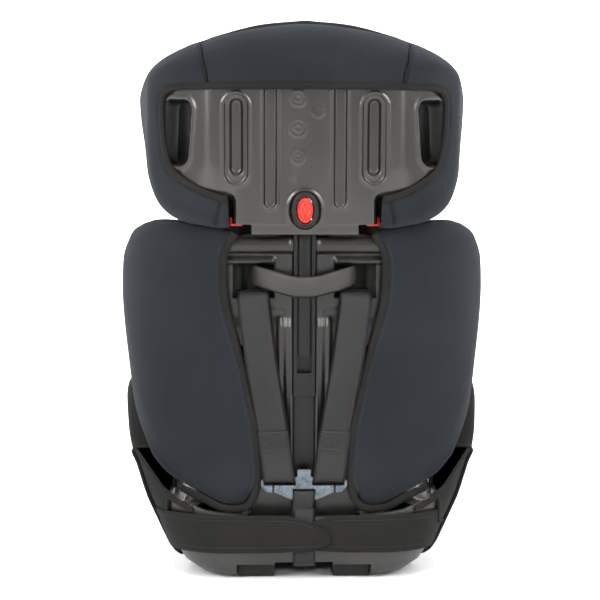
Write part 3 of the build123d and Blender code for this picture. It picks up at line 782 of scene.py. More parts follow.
def near_line(x, z, start, end):
    """Distance in the (x, z) plane from a short seam line."""
    a = np.array(start, float)
    d = np.array(end, float) - a
    t = np.clip(((x - a[0]) * d[0] + (z - a[1]) * d[1]) / (d @ d), 0, 1)
    return np.hypot(x - a[0] - t * d[0], z - a[1] - t * d[1])


def headrest_cover():
    """Rear cover of the headrest: a padded frame round the shell, bound, piped and seamed."""
    opening = both_ways([a for a, b in FRAME_STATIONS])
    outline = both_ways([b for a, b in FRAME_STATIONS])
    pairs = spline(np.hstack([opening, outline]), 300)
    opening = on_arc(HEAD_PLAN, pairs[:, :2])
    outline = on_arc(HEAD_PLAN, pairs[:, 2:])
    t = np.linspace(0, 1, 34)[:, None, None]
    grid = opening[None] * (1 - t) + outline[None] * t
    s, z = grid[..., 0], grid[..., 1]
    inner = away_from(grid, evenly(opening, 700))
    edge = away_from(grid, evenly(outline, 700))
    end = np.minimum(away_from(grid, evenly(grid[:, 0], 40)), away_from(grid, evenly(grid[:, -1], 40)))
    depth, under = cover_depths(edge, inner, 7.0, rim_radius=17.0, reach=26.0)
    depth = depth + (COVER_INSIDE - depth) * round_over(end, 12.0)
    depth = np.minimum(depth, under)
    x, y = plan_point(HEAD_PLAN, s, depth)
    seam = near_line(np.abs(x), z, *HEAD_SEAM)
    cheek = near_line(np.abs(x), z, *HEAD_CHEEK)
    smooth = on_plan(HEAD_PLAN, s, z, depth)
    for gap, amount in ((seam, 4.6), (cheek, 3.2)):
        depth = depth + amount * np.exp(-(gap / 1.9) ** 2) * smooth_step(0, 6, inner)
    rear = on_plan(HEAD_PLAN, s, z, depth)
    front = on_plan(HEAD_PLAN, s, z, np.maximum(under, depth))
    made = closed_sheet("headrest_cover", rear, front, [NAVY])
    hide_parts("headrest_cover")
    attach(made, "headrest")
    edging("headrest_binding", HEAD_PLAN, evenly(opening, 260), -3.0, (4.4, 3.0),
           "headrest")
    edging("headrest_piping", HEAD_PLAN, evenly(outline, 240), RIM_DEPTH - 0.5, (1.7, 1.7),
           "headrest", sides=8)
    # sewn seams across the cover, each a fine dark cord at the bottom of its groove
    inwards = np.tile([0, -LEAN_COS, LEAN_SIN], (40, 1))
    for tag, ends in (("top", HEAD_SEAM), ("cheek", HEAD_CHEEK)):
        for name, side in SIDES:
            line = []
            for place in np.linspace(ends[0], ends[1], 40):
                near = np.hypot(x - place[0] * side, z - place[1])
                line.append(smooth[np.unravel_index(np.argmin(near), near.shape)])
            line = softened(line, 40, 4) + inwards * 1.2 * MM
            cord = tube("headrest_seam_" + tag + "_" + name, line, 1.1 * MM, 1.1 * MM, inwards, [BINDING],
                        sides=8)
            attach(cord, "headrest")


headrest_cover()


# ---------------------------------------------------------------- front cushions
PAD_FRONT = 36.0          # depth of the backrest cushions' front
CHANNEL = 2.4             # how far a sewn channel spreads from its middle


def cushion_depths(edge, rear_depth, front_depth, radius=24.0, swell=0.0):
    """Rear and front depth of a cushion from its distance to the rim."""
    front = front_depth + swell * smooth_step(0, 60, edge)
    front = front + (RIM_DEPTH + 0.6 - front) * round_over(edge, radius)
    rear = rear_depth + (RIM_DEPTH + 0.2 - rear_depth) * (1 - smooth_step(0, 9, edge))
    return np.minimum(rear, front), front


def channel(gap, deep):
    """Depth of a sewn channel at a distance from its middle."""
    return deep * np.exp(-(gap / CHANNEL) ** 2)


BOLSTER_INNER = [(97, 96), (97, 403)]
BOLSTER_OUTER = [(168, 113), (180, 126), (192, 155), (201, 187), (208, 238), (213, 290),
                 (214.6, 330), (212, 368), (202, 395)]


def bolster(name, side):
    """Front cushion of one wing, sewn to the middle cushion along its inner edge."""
    outer = on_arc(BACK_PLAN, spline(BOLSTER_OUTER, 110))
    inner = on_arc(BACK_PLAN, evenly(np.array(BOLSTER_INNER, float), 110))
    top = on_arc(BACK_PLAN, spline([(97, 403), (125, 403), (160, 405), (186, 403), (202, 395)], 60))
    bottom = on_arc(BACK_PLAN, spline([(97, 96), (120, 99), (145, 104), (168, 113)], 60))
    grid = coons(bottom, top, inner, outer)
    s, z = grid[..., 0], grid[..., 1]
    edge = away_from(grid, evenly(np.vstack([top, outer[::-1], bottom[::-1]]), 500))
    seam = away_from(grid, inner)
    rear_depth, front_depth = cushion_depths(edge, 10.6, PAD_FRONT, swell=5.0)
    sewn = 6.0 * round_over(seam, 9.0)
    curve = channel(np.abs(s - 96 - (z - 90) * 0.16), 3.0) * smooth_step(10, 30, edge)
    front_depth = front_depth - sewn - curve
    front = on_plan(BACK_PLAN, s * side, z, np.maximum(front_depth, rear_depth + 0.2))
    rear = on_plan(BACK_PLAN, s * side, z, rear_depth)
    made = closed_sheet("backrest_bolster_" + name, rear, front, [NAVY])
    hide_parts("backrest_bolster_" + name)
    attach(made, "backrest")


def slot_cells(x, z, slots):
    """False for the grid cells inside any (x low, x high, z low, z high) slot, on both sides."""
    keep = np.ones((x.shape[0] - 1, x.shape[1] - 1), bool)
    middle_x = np.abs((x[1:, 1:] + x[:-1, :-1]) / 2)
    middle_z = (z[1:, 1:] + z[:-1, :-1]) / 2
    for x_low, x_high, z_low, z_high in slots:
        keep &= ~((middle_x > x_low) & (middle_x < x_high) & (middle_z > z_low) & (middle_z < z_high))
    return keep


def marks(breaks, step):
    """Grid lines through every break, no further apart than step."""
    lines = [breaks[0]]
    for a, b in zip(breaks, breaks[1:]):
        lines += list(np.linspace(a, b, max(2, int(math.ceil((b - a) / step)) + 1))[1:])
    return np.array(lines)


# Harness slots of the shell and slits of the cloth, upper pair first: x low, x high, z low, z high
SLOTS = ((34, 80, 320, 358), (34, 80, 250, 266))
SLITS = ((38.4, 75.6, 325.2, 328.2), (38.4, 75.6, 257.2, 259.6))
PAD_SEAM = 96             # where the middle cushion meets the bolsters


def middle_cushion():
    """Middle cushion with cross seams, open slits for the straps and a closed lower pair."""
    right = [0, SLITS[0][0], SLITS[0][1], PAD_SEAM]
    columns = marks([-v for v in right[:0:-1]] + right, 3.0)
    rows = marks([101, 124, *SLITS[1][2:], *SLITS[0][2:], 402], 3.0)
    s, z = np.meshgrid(columns, rows)
    edge_z = np.minimum(z - rows[0], rows[-1] - z)
    rear_depth = np.where(np.abs(s) < 72, 21.0, 10.8)
    seam = PAD_SEAM - np.abs(s)
    front_depth = PAD_FRONT - 7.0 * round_over(seam, 12.0) - 14 * round_over(edge_z, 14.0)
    for height in (150, 200, 300):
        front_depth = front_depth - channel(z - height, 2.6) * smooth_step(0, 8, seam)
    slot_gap = np.full(s.shape, 99.0)
    for x_low, x_high, z_low, z_high in SLITS:
        beside = np.maximum(np.maximum(x_low - np.abs(s), np.abs(s) - x_high), 0)
        above = np.maximum(np.maximum(z_low - z, z - z_high), 0)
        slot_gap = np.minimum(slot_gap, np.hypot(beside, above))
    front_depth = front_depth - 4.0 * round_over(slot_gap, 8.0)
    front = on_plan(BACK_PLAN, s, z, np.maximum(front_depth, rear_depth + 0.4))
    rear = on_plan(BACK_PLAN, s, z, rear_depth)
    made = closed_sheet("backrest_pad", rear, front, [BLACK],
                        cells=slot_cells(s, z, SLITS[:1]))
    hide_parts("backrest_pad")
    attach(made, "backrest")


for side_name, side_sign in SIDES:
    bolster(side_name, side_sign)
middle_cushion()

# Right-hand rim of the headrest seen from behind, from its foot to the crest
HEAD_RIM = [(90, 402), (118, 401), (146, 404), (163, 413), (172, 437), (178, 470), (184, 500),
            (188.5, 534), (186, 562), (172, 583), (146, 595), (117, 603), (98, 608), (50, 620), (0, 625)]
# Hand recesses on the arc: inner and outer edge, foot, top and corner radius
HAND = (128, 176, 466, 540, 13)
HAND_SHADE = (128, 240, 466, 540, 13)      # the unlit part runs on under the cover


def hand_recess(s, z, shape=HAND):
    """Signed distance from the two hand recesses, which lean inwards at the top."""
    return boxed(s + np.sign(s) * (z - 500) * 0.10, z, *shape)


HEAD_CORNER = 7           # the station of the rim where its side becomes its top
HEAD_FOOT = [(90, 402), (85, 425), (80, 440), (50, 442), (0, 442)]


def headrest_cushion():
    """Front cushion of the headrest: navy wings, black middle and crest, hollows for the recesses."""
    side_line = spline(HEAD_RIM[:HEAD_CORNER + 1], 90)
    top_half = spline(HEAD_RIM[HEAD_CORNER:], 110)
    foot_half = softened(HEAD_FOOT, 110, 12)
    right = on_arc(HEAD_PLAN, side_line)
    left = right * np.array([-1, 1])
    top = on_arc(HEAD_PLAN, both_ways(top_half))
    foot = on_arc(HEAD_PLAN, both_ways(foot_half))
    grid = coons(foot, top, left, right)
    s, z = grid[..., 0], grid[..., 1]
    edge = away_from(grid, evenly(np.vstack([left, top, right[::-1], foot[::-1]]), 1200))
    rear_depth, front_depth = cushion_depths(edge, 9.8, 38.0, radius=22.0, swell=2.0)
    rear_depth = rear_depth + 15.0 * (1 - smooth_step(2, 7, hand_recess(s, z)))
    front_depth = front_depth - channel(np.abs(s) - 100, 3.2) * smooth_step(8, 24, edge)
    front_depth = front_depth - channel(z - 520, 2.4) * (np.abs(s) < 100)
    front = on_plan(HEAD_PLAN, s, z, np.maximum(front_depth, rear_depth + 0.2))
    rear = on_plan(HEAD_PLAN, s, z, rear_depth)
    kinds = (np.abs(s[1:, 1:] + s[:-1, :-1]) / 2 < 100).astype(int)
    kinds = np.maximum(kinds, ((z[1:, 1:] + z[:-1, :-1]) / 2 > 606).astype(int))
    made = closed_sheet("headrest_pad", rear, front, [NAVY, BLACK], kinds=kinds)
    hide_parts("headrest_pad")
    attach(made, "headrest")


headrest_cushion()


# ---------------------------------------------------------------- moulded shells
NECK = 77.6               # half width of the headrest shell below its wings
FLANGE = 88.0             # half width of the dark flange beside the neck
LIP = 60.0                # half width of the lip below the neck
NECK_Z = 403.6
LIP_Z = 391.4
BUTTON_Z = 419.5
BUTTON_HOLE = (9.2, 14.7)
BUTTON_BOSS = (21.0, 24.5)
SLIDE_HALF = 12.4         # half width of the slider's channel in the backrest shell


def headrest_shell():
    """Blow-moulded rear of the headrest with its grooves, pockets, recesses and button boss."""
    columns = marks([0, LIP, NECK, FLANGE, 150, 260], 1.5)
    columns = np.concatenate([-columns[:0:-1], columns])
    rows = marks([LIP_Z, NECK_Z, 433, 590], 1.5)
    s, z = np.meshgrid(columns, rows)
    x, _ = plan_point(HEAD_PLAN, s, 0)
    depth = np.zeros(s.shape)
    # two long grooves that run up under the cover
    long_groove = obround(x, z, 38.4, 421, 700, 7.6)
    depth -= 1.9 * np.exp(-((long_groove - 0.8) / 1.0) ** 2)
    depth += sunk(long_groove, 3.4, 2.2)
    # two stepped pockets
    pocket = obround(x, z, 75.4, 447, 546, 13.4)
    depth += sunk(pocket, 3.6, 1.8)
    depth -= 1.7 * np.exp(-((pocket - 1.2) / 1.1) ** 2)
    well = obround(x, z, 75.4, 457, 541, 7.4)
    depth += sunk(well, 5.5, 2.6)
    depth -= 1.4 * np.exp(-((well - 1.6) / 1.3) ** 2)
    # hand recesses
    hand = hand_recess(s, z)
    depth += sunk(hand, 16.0, 5.0)
    depth -= 1.2 * np.exp(-((hand - 2.0) / 3.0) ** 2)
    # shallow panel between the long grooves, and a swell beside the pockets
    depth += 0.9 * (1 - smooth_step(27, 29.5, np.abs(x)))
    depth -= 2.2 * np.exp(-((np.abs(x) - 106) / 12) ** 2) * smooth_step(440, 470, z)
    # lower corners roll away towards the neck
    depth += 5.0 * smooth_step(76, 84, np.abs(x)) * (1 - smooth_step(426, 446, z))
    # button boss
    oval = np.hypot(x / BUTTON_BOSS[0], (z - BUTTON_Z) / BUTTON_BOSS[1])
    depth -= 2.4 * (1 - smooth_step(0.86, 1.02, oval))
    depth += 3.4 * (1 - smooth_step(0.80, 0.88, oval))
    # plain raised rings where the moulder's marks sit
    for centre_x, centre_z, radius in ((-8, 541, 8), (-8, 509, 9), (-8, 478, 7), (14, 527, 5.6)):
        ring = np.hypot(x + centre_x, z - centre_z)
        depth -= 0.9 * np.exp(-((ring - radius) / 0.9) ** 2)
        depth -= 0.8 * np.exp(-((ring - radius * 0.45) / 0.9) ** 2)
    # neck and lip edges fall away
    depth += 9.0 * smooth_step(NECK - 0.4, NECK + 1.4, np.abs(s)) * (1 - smooth_step(430, 436, z))
    in_neck = (np.abs(x) < NECK + 0.1) & (z < 433)
    side_gap = np.where(z < NECK_Z, LIP - np.abs(x), NECK - np.abs(x))
    depth += np.where(in_neck, 3.5 * round_over(np.maximum(side_gap, 0), 3.5), 0)
    depth += 2.5 * round_over(z - LIP_Z, 2.5)
    depth += np.where(z < NECK_Z, 1.8, 0)
    cells = np.ones((len(rows) - 1, len(columns) - 1), bool)
    middle_s = np.abs(s[1:, 1:] + s[:-1, :-1]) / 2
    middle_z = (z[1:, 1:] + z[:-1, :-1]) / 2
    cells &= ~((middle_s > LIP) & (middle_z < NECK_Z))
    cells &= ~((middle_s > FLANGE) & (middle_z < 420))
    cells &= np.hypot(s[1:, 1:] / BUTTON_HOLE[0], (middle_z - BUTTON_Z) / BUTTON_HOLE[1]) > 1
    reach = np.interp(middle_z, [420, 440, 452, 466, 480, 500, 540, 549, 560, 590],
                      [120, 135, 150, 158, 163, 165.5, 165.5, 163, 158, 125])
    cells &= middle_s < arc_from_x(HEAD_PLAN, reach, 0.0)
    rear = on_plan(HEAD_PLAN, s, z, depth)
    front = on_plan(HEAD_PLAN, s, z, np.maximum(9.0, depth + 2.0))
    # Kind 1 is black plastic: the flange beside the neck, and the hand recesses as painted shade, on under
    # the cover.
    hand_shade_gap = hand_recess(s, z, HAND_SHADE)
    hand_shade_cells = (hand_shade_gap[1:, 1:] + hand_shade_gap[:-1, :-1]) / 2 < -1.5
    kinds = (((middle_s > NECK + 0.5) & (middle_z < 432)) | hand_shade_cells).astype(int)
    made = closed_sheet("headrest_shell", rear, front, [SHELL, DARK], cells=cells,
                        kinds=kinds)
    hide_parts("headrest_shell")
    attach(made, "headrest")


def backrest_shell():
    """Blow-moulded rear of the backrest: shelf, slot hoods, slider channel and long troughs."""
    columns = marks([0, 8.2, SLIDE_HALF, 34, 60, 80, 150, 230], 1.7)
    columns = np.concatenate([-columns[:0:-1], columns])
    rows = marks([62, 98, 196, 250, 266, 320, 358, 391], 1.7)
    s, z = np.meshgrid(columns, rows)
    x, _ = plan_point(BACK_PLAN, s, 0)
    depth = np.zeros(s.shape)
    # rounded shelf along the top, then a sunken panel down to the slots
    shelf = smooth_step(374, 369, z)
    depth += 6.5 * shelf * (1 - 0.55 * smooth_step(300, 286, z))
    depth += 8.0 * round_over(391 - z, 8.0)
    depth -= 1.4 * np.exp(-((z - 380) / 4.5) ** 2)
    # hoods over the harness slots
    hood = np.exp(-((z - 362) / 4.0) ** 2) * smooth_step(30, 36, np.abs(x))
    depth -= 4.2 * hood
    # central channel for the slider, with raised lips
    channel_gap = np.abs(x) - SLIDE_HALF
    depth -= 1.6 * np.exp(-((channel_gap - 2.0) / 1.5) ** 2)
    depth = np.where(channel_gap < 0, 8.8, depth)
    # long troughs beside the channel
    trough = boxed(x, z, 18, 50, 104, 312, 9)
    depth += sunk(trough, 2.4, 7.0)
    rib = boxed(x, z, 24, 31, 112, 300, 3.4)
    depth -= sunk(rib, 1.8, 3.0)
    cells = slot_cells(x, z, SLOTS)
    middle_s = np.abs(s[1:, 1:] + s[:-1, :-1]) / 2
    middle_z = (z[1:, 1:] + z[:-1, :-1]) / 2
    cells &= ~((middle_s > 60) & (middle_z < 98))
    limit = np.interp(middle_z, [98, 122, 156, 208, 290, 343, 391],
                      [110, 156, 188, 210, 238, 238, 190])
    cells &= middle_s < limit
    thick = np.where(np.abs(s) < 70, 20.0, 10.0)
    rear = on_plan(BACK_PLAN, s, z, depth)
    front = on_plan(BACK_PLAN, s, z, np.maximum(thick, depth + 2.0))
    # The floor of the slider channel gets black plastic as painted shade.
    made = closed_sheet("backrest_shell", rear, front, [SHADED_BACK_SHELL, DARK], cells=cells,
                        kinds=(middle_s < 11).astype(int))
    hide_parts("backrest_shell")
    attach(made, "backrest")


headrest_shell()
backrest_shell()


# ---------------------------------------------------------------- harness
YOKE_Z = 110.0            # the yoke's bar, and the slots its straps come out of
SLOT_Z = 326.0
STRAP_AT_YOKE = 27.2      # from the middle to the middle of a shoulder strap
STRAP_AT_SLOT = 57.0
STRAP_SLOPE = (STRAP_AT_SLOT - STRAP_AT_YOKE) / (SLOT_Z - YOKE_Z)
WEB_THICK = 1.5
WEB_WIDE = 38.0


def strap_line(z):
    """How far from the middle a rear shoulder strap runs at a height."""
    return STRAP_AT_YOKE + STRAP_SLOPE * (z - YOKE_Z)


def yoke_blend(piece):
    """Bakes a piece of webbing's placement into its mesh, where it stays."""
    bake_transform(piece)


def rear_strap(name, side):
    """Shoulder strap behind the backrest, looped round the yoke and sewn back on itself."""
    stations = [
        ((57, 163, 326.6), (1, 0, 0), (0, 0, 1)), ((57, 175, 327.6), (1, 0, 0), (0, 0.1, 1)),
        ((57, 182.5, 325), (1, 0, 0), (0, 1, 0.9)), ((56.4, 185.6, 317), (1, 0.12, 0), (0, 1, 0.2)),
        ((53, 187.0, 290), (1, 0.16, 0), (-0.16, 1, 0)), ((48, 187.6, 250), (1, 0.10, 0), (-0.10, 1, 0)),
        ((41, 186.0, 205), (1, 0.03, 0), (0, 1, 0)), ((strap_line(168), 185.0, 168), (1, 0, 0), (0, 1, 0)),
        ((strap_line(128), 185.0, 128), (1, 0, 0), (0, 1, 0)),
        ((strap_line(116), 185.6, 114.5), (1, 0, 0), (0, 1, 0.9)),
        ((strap_line(112), 188.5, 112.6), (1, 0, 0), (0, 0, 1)),
        ((strap_line(116), 191.5, 114.5), (1, 0, 0), (0, -1, 0.9)),
        ((strap_line(124), 191.2, 124), (1, 0, 0), (0, -1, 0)),
        ((strap_line(146), 187.0, 146), (1, 0, 0), (0, -1, 0)),
        ((strap_line(171), 186.7, 171), (1, 0, 0), (0, -1, 0)),
    ]
    sided = [((c[0] * side, c[1], c[2]), (a[0], a[1] * side, a[2]), (n[0] * side, n[1], n[2]))
             for c, a, n in stations]
    made = webbing("shoulder_strap_rear_" + name, sided, 36.5, 1.4, WEB, leaned, count=120,
                   cup=0.5)
    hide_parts("shoulder_strap_rear_" + name)
    yoke_blend(made)
    # sewn tail: a box of stitching with a zigzag through it
    runs = []
    for points in (((-14, 150), (14, 150)), ((-14, 165), (14, 165)), ((-14, 150), (-2, 165)),
                   ((-2, 165), (4, 150)), ((4, 150), (14, 165))):
        runs.append([((strap_line(z) + u) * side, 188.4, z - u * STRAP_SLOPE) for u, z in points])
    for u in (-15.8, 15.8):
        runs.append([((strap_line(z) + u) * side, 188.2 + max(0, (146 - z) * 0.19), z)
                     for z in (128, 146, 168)])
    row = stitches("strap_stitching_" + name, [leaned(run) for run in runs], BACKWARDS, None,
                   pitch=2.4 * MM, thread=0.45 * MM)
    yoke_blend(row)


def link_strap():
    """Flat strap that joins the two shoulder pads behind the backrest."""
    half = [(0, 185.2, 333.6), (14, 185.6, 334.6), (28, 185.6, 338.4), (41, 184.0, 342),
            (51, 179, 344.4), (56, 170, 345), (57.5, 160, 345), (58, 148, 345)]
    points = [(-x, y, z) for x, y, z in half[:0:-1]] + half
    stations = []
    for x, y, z in points:
        bend = max(0.0, abs(x) - 40) / 18
        stations.append(((x, y, z), (0, 0.16, 1), (math.copysign(bend, x), 1.02 - min(bend, 1), 0)))
    made = webbing("pad_link_strap", stations, 24.5, 1.1, SATIN, leaned, count=90, cup=0.7)
    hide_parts("pad_link_strap")
    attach(made, "backrest")


def front_strap(name, side):
    """Shoulder strap from its slot down the cushion to the buckle tongue, bending at the seat."""
    stations = [
        ((57, 168, 326.6), (1, 0, 0), (0, 0, 1)), ((57, 150, 326.8), (1, 0, 0), (0, 0, 1)),
        ((56.6, 143.6, 324), (1, 0, 0), (0, -1, 1)), ((55, 142.2, 312), (1, 0, 0), (0, -1, 0)),
        ((48.6, 142.0, 275), (1, 0, 0.1), (0, -1, 0)), ((42, 141.6, 238), (1, 0, 0.12), (0, -1, 0.15)),
        ((35, 131, 219), (1, 0, 0.1), (0, -1, 1)), ((30, 95, 197), (1, 0, 0.05), (0, -1, 1.5)),
        ((26.5, 60, 178), (1, 0, 0), (0, -1, 1.5)),
    ]
    count = 110
    end = [(18.5, 24, 214.5), (15.4, 14, 219.6), (14.8, 11.6, 215)]
    upper = leaned(np.array([centre for centre, across, normal in stations]) * (side, 1, 1))
    lower = standing(np.array(end) * (side, 1, 1))
    centres = spline(np.vstack([upper, lower]), count)
    turns = [normal for centre, across, normal in stations] + [(0, -1, 1.4), (0, -1, 0.8), (0, -1, 0.1)]
    at = np.linspace(0, len(turns) - 1, count)
    normals = np.stack([np.interp(at, range(len(turns)), column) for column in zip(*turns)], axis=1)
    tangent = np.gradient(centres, axis=0)
    across = [1.0, 0, 0] - tangent * (tangent[:, :1] / np.sum(tangent ** 2, axis=1)[:, None])
    square = np.cross(tangent, across)
    flip = np.sign(np.sum(square * normals, axis=1))[:, None]
    # the webbing is folded narrower where it passes through the tongue
    width = np.interp(np.linspace(0, 1, count), [0, 0.55, 0.85, 1], [37, 36, 26, 20]) * MM
    made = ribbon("shoulder_strap_front_" + name, centres, across, square * flip, width, WEB_THICK * MM,
                  WEB)
    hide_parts("shoulder_strap_front_" + name, "shoulder_strap_lower_" + name)
    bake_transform(made)


def lap_strap(name, side):
    """Lap strap from the buckle tongue round to its anchor in the armrest."""
    stations = [((34, 11.4, 212), (0.45, 0.1, 1), (0.4, -1, 0)),
                ((46, 20, 206), (0.5, 0.1, 1), (0.5, -1, 0)),
                ((62, 36, 194), (0.5, 0.1, 1), (0.6, -1, 0.1)),
                ((86, 56, 176), (0.5, 0.1, 1), (0.7, -1, 0.1)),
                ((110, 72, 160), (0.5, 0.1, 1), (0.7, -1, 0.1)),
                ((128, 83, 149), (0.45, 0.1, 1), (0.9, -1, 0)),
                ((137.6, 88, 143), (0.45, 0.1, 1), (1, -0.8, 0))]
    made = webbing("lap_strap_" + name, on_side(stations, side), 32, WEB_THICK, WEB, standing,
                   count=50, cup=0.4)
    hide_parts("lap_strap_" + name)
    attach(made, "base")


def middle_strap(name, path, width, thick, place, count, cup=0.0):
    """Webbing down the middle of the seat through (y, z, normal y, normal z) stations."""
    stations = [((0, y, z), (1, 0, 0), (0, ny, nz)) for y, z, ny, nz in path]
    made = webbing(name, stations, width, thick, WEB, place, count=count, cup=cup)
    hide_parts(name)
    return made


def adjuster_webbing():
    """The strap from the yoke under the base to the adjuster, its loose end and the crotch strap."""
    loop = [((0, 185.2, 80), (1, 0, 0), (0, 1, 0)), ((0, 185.2, 96), (1, 0, 0), (0, 1, 0)),
            ((0, 185.8, 101.4), (1, 0, 0), (0, 1, -0.7)), ((0, 188.5, 102.9), (1, 0, 0), (0, 0, -1)),
            ((0, 191.3, 101.4), (1, 0, 0), (0, -1, -0.7)), ((0.4, 192.4, 94), (1, 0.05, 0.04), (0, -1, 0)),
            ((1.4, 192.6, 82), (1, 0.1, 0.08), (0, -1, 0)), ((3.0, 191.4, 70), (1, 0.1, 0.12), (0, -1, 0))]
    made = webbing("adjuster_strap_loop", loop, 25, 1.3, WEB, leaned, count=60, cup=0.6)
    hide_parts("adjuster_strap_loop")
    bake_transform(made)
    under = [(193.6, 80, 1, 0.2), (195.6, 68, 1, 0.1), (195.8, 40, 1, 0), (195.2, 22, 1, -0.3),
             (190, 15.2, 0.6, -1), (170, 14.4, 0, -1), (0, 14.2, 0, -1), (-152, 14.4, 0, -1),
             (-190, 36, -0.7, -1), (-202, 45, -0.6, -1)]
    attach(middle_strap("adjuster_strap_lower", under, 24.4, 1.2, standing, 160), "base")
    pull = [(-219, 47, 0, 1), (-228, 46, -1, 1), (-230.4, 40, -1, 0), (-230, 14, -1, -0.1),
            (-222, 3, -1, -1.6), (-208, 1.6, -0.1, -1), (-110, 1.6, 0, -1)]
    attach(middle_strap("adjuster_pull_strap", pull, 24.4, 1.4, standing, 110), "base")
    crotch = [(11, 84, -1, 0), (11.2, 108, -1, 0), (11, 134, -1, 0)]
    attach(middle_strap("crotch_strap", crotch, WEB_WIDE, WEB_THICK, standing, 30), "base")


for side_name, side_sign in SIDES:
    rear_strap(side_name, side_sign)
    front_strap(side_name, side_sign)
    lap_strap(side_name, side_sign)
link_strap()
adjuster_webbing()


# ---------------------------------------------------------------- seat base covers
# height, half width, front, rear and corner radius of the base body
BASE_SECTIONS = np.array([
    (4, 118, -194, 184, 50), (16, 136, -205, 191, 56), (36, 150, -211, 194, 62),
    (90, 176, -214, 194, 66), (150, 197, -214, 190, 66), (228, 209, -206, 182, 66),
], float)
ARMREST_LINE = [(-226, 96), (-200, 99), (-176, 114), (-150, 146), (-120, 168), (-60, 199), (0, 215),
                (40, 221.5), (70, 221), (92, 212), (112, 188), (130, 165), (146, 146)]


def base_size(z):
    """Half width, front, rear and corner radius of the base body at a height."""
    return [np.interp(z, BASE_SECTIONS[:, 0], BASE_SECTIONS[:, k]) for k in range(1, 5)]


def base_side_x(y, z, grow):
    """How far out the base body reaches at a place along its side."""
    half, front, rear, corner = base_size(z)
    radius = corner + grow
    past = np.maximum(np.maximum(y - (rear - corner), (front + corner) - y), 0)
    past = np.minimum(past, radius * 0.999)
    return half - corner + np.sqrt(radius ** 2 - past ** 2)


def rear_path(z, grow, reach, count):
    """(x, y) round the back of the base body, from the middle to `reach` along it."""
    half, front, rear, corner = base_size(z)
    radius = corner + grow
    flat = half - corner
    s = np.linspace(reach[0], reach[1], count)
    bend = np.clip((np.abs(s) - flat) / radius, 0, math.pi / 2)
    run = np.maximum(np.abs(s) - flat - radius * math.pi / 2, 0)
    x = np.minimum(np.abs(s), flat) + radius * np.sin(bend)
    y = rear - corner + radius * np.cos(bend) - run
    return np.sign(s) * x, y


def base_edging(name, edge, count, out, wide, thick):
    """Elastic binding along an edge of a cover of the base."""
    made = tube(name, standing(evenly(edge, count)), wide * MM, thick * MM, np.tile(out, (count, 1)),
                [BINDING], sides=8)
    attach(made, "base")


def side_cover(name, side):
    """Skirt over an armrest: up the inside, over the top and down the outside."""
    length = np.linspace(-196, 148, 96)
    top = np.interp(length, *np.array(ARMREST_LINE).T)
    rows = []
    for y, crest in zip(length, top):
        low_in = np.minimum(crest - 6, 96.0)
        inner_top_x = 145.6 + (crest - 88) * 0.05
        outer_top = base_side_x(y, crest, 5.6)
        inner_x = np.minimum(inner_top_x, outer_top - 10)
        hem_z = 19 + 1.6 * math.sin(y / 31) + 10 * smooth_step(120, 148, y)
        crown = 10.5 * smooth_step(-230, -190, y) * smooth_step(148, 124, y)
        radius = min(8.0, (outer_top - inner_x) * 0.45)
        rise = radius + crown * 0.6
        profile = [(inner_x, low_in), (inner_x, crest - radius)]
        for a in (0.5, 1.0, 1.5):
            profile.append((inner_x + radius * (1 - math.cos(a)), crest - radius + rise * math.sin(a)))
        profile.append(((inner_x + outer_top) / 2, crest + crown))
        for a in (0.1, 0.7, 1.3):
            profile.append((outer_top - radius * (1 - math.sin(a)), crest - radius + rise * math.cos(a)))
        for z in np.linspace(crest - radius, hem_z, 12)[1:]:
            fold = 1.3 * math.sin(y / 27 + z / 44) * (1 - (z - hem_z) / max(crest - hem_z, 1))
            profile.append((base_side_x(y, z, 5.2) + fold, z))
        line = evenly(np.array(profile), 60)
        rows.append(np.stack([line[:, 0] * side, np.full(len(line), y), line[:, 1]], axis=1))
    outer = np.array(rows)
    for _ in range(10):
        outer[1:-1, 1:-1] = (2 * outer[1:-1, 1:-1] + outer[:-2, 1:-1] + outer[2:, 1:-1]
                             + outer[1:-1, :-2] + outer[1:-1, 2:]) / 6
    # the lining sits inside by the cloth's thickness
    along = np.gradient(outer, axis=0)
    down = np.gradient(outer, axis=1)
    normal = np.cross(along, down)
    normal /= np.linalg.norm(normal, axis=2)[..., None]
    if normal[48, 50, 0] * side < 0:
        normal = -normal
    lining = outer - normal * 1.8
    made = closed_sheet("seat_side_cover_" + name, standing(outer), standing(lining), [BLACK])
    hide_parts("seat_side_cover_" + name)
    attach(made, "base")
    for tag, edge_line in (("hem", outer[:, -1]), ("rear", outer[-1]), ("front", outer[0])):
        base_edging("side_cover_" + tag + "_" + name, edge_line, 90, (side * 0.6, 0.0, 0.4), 2.2, 2.2)


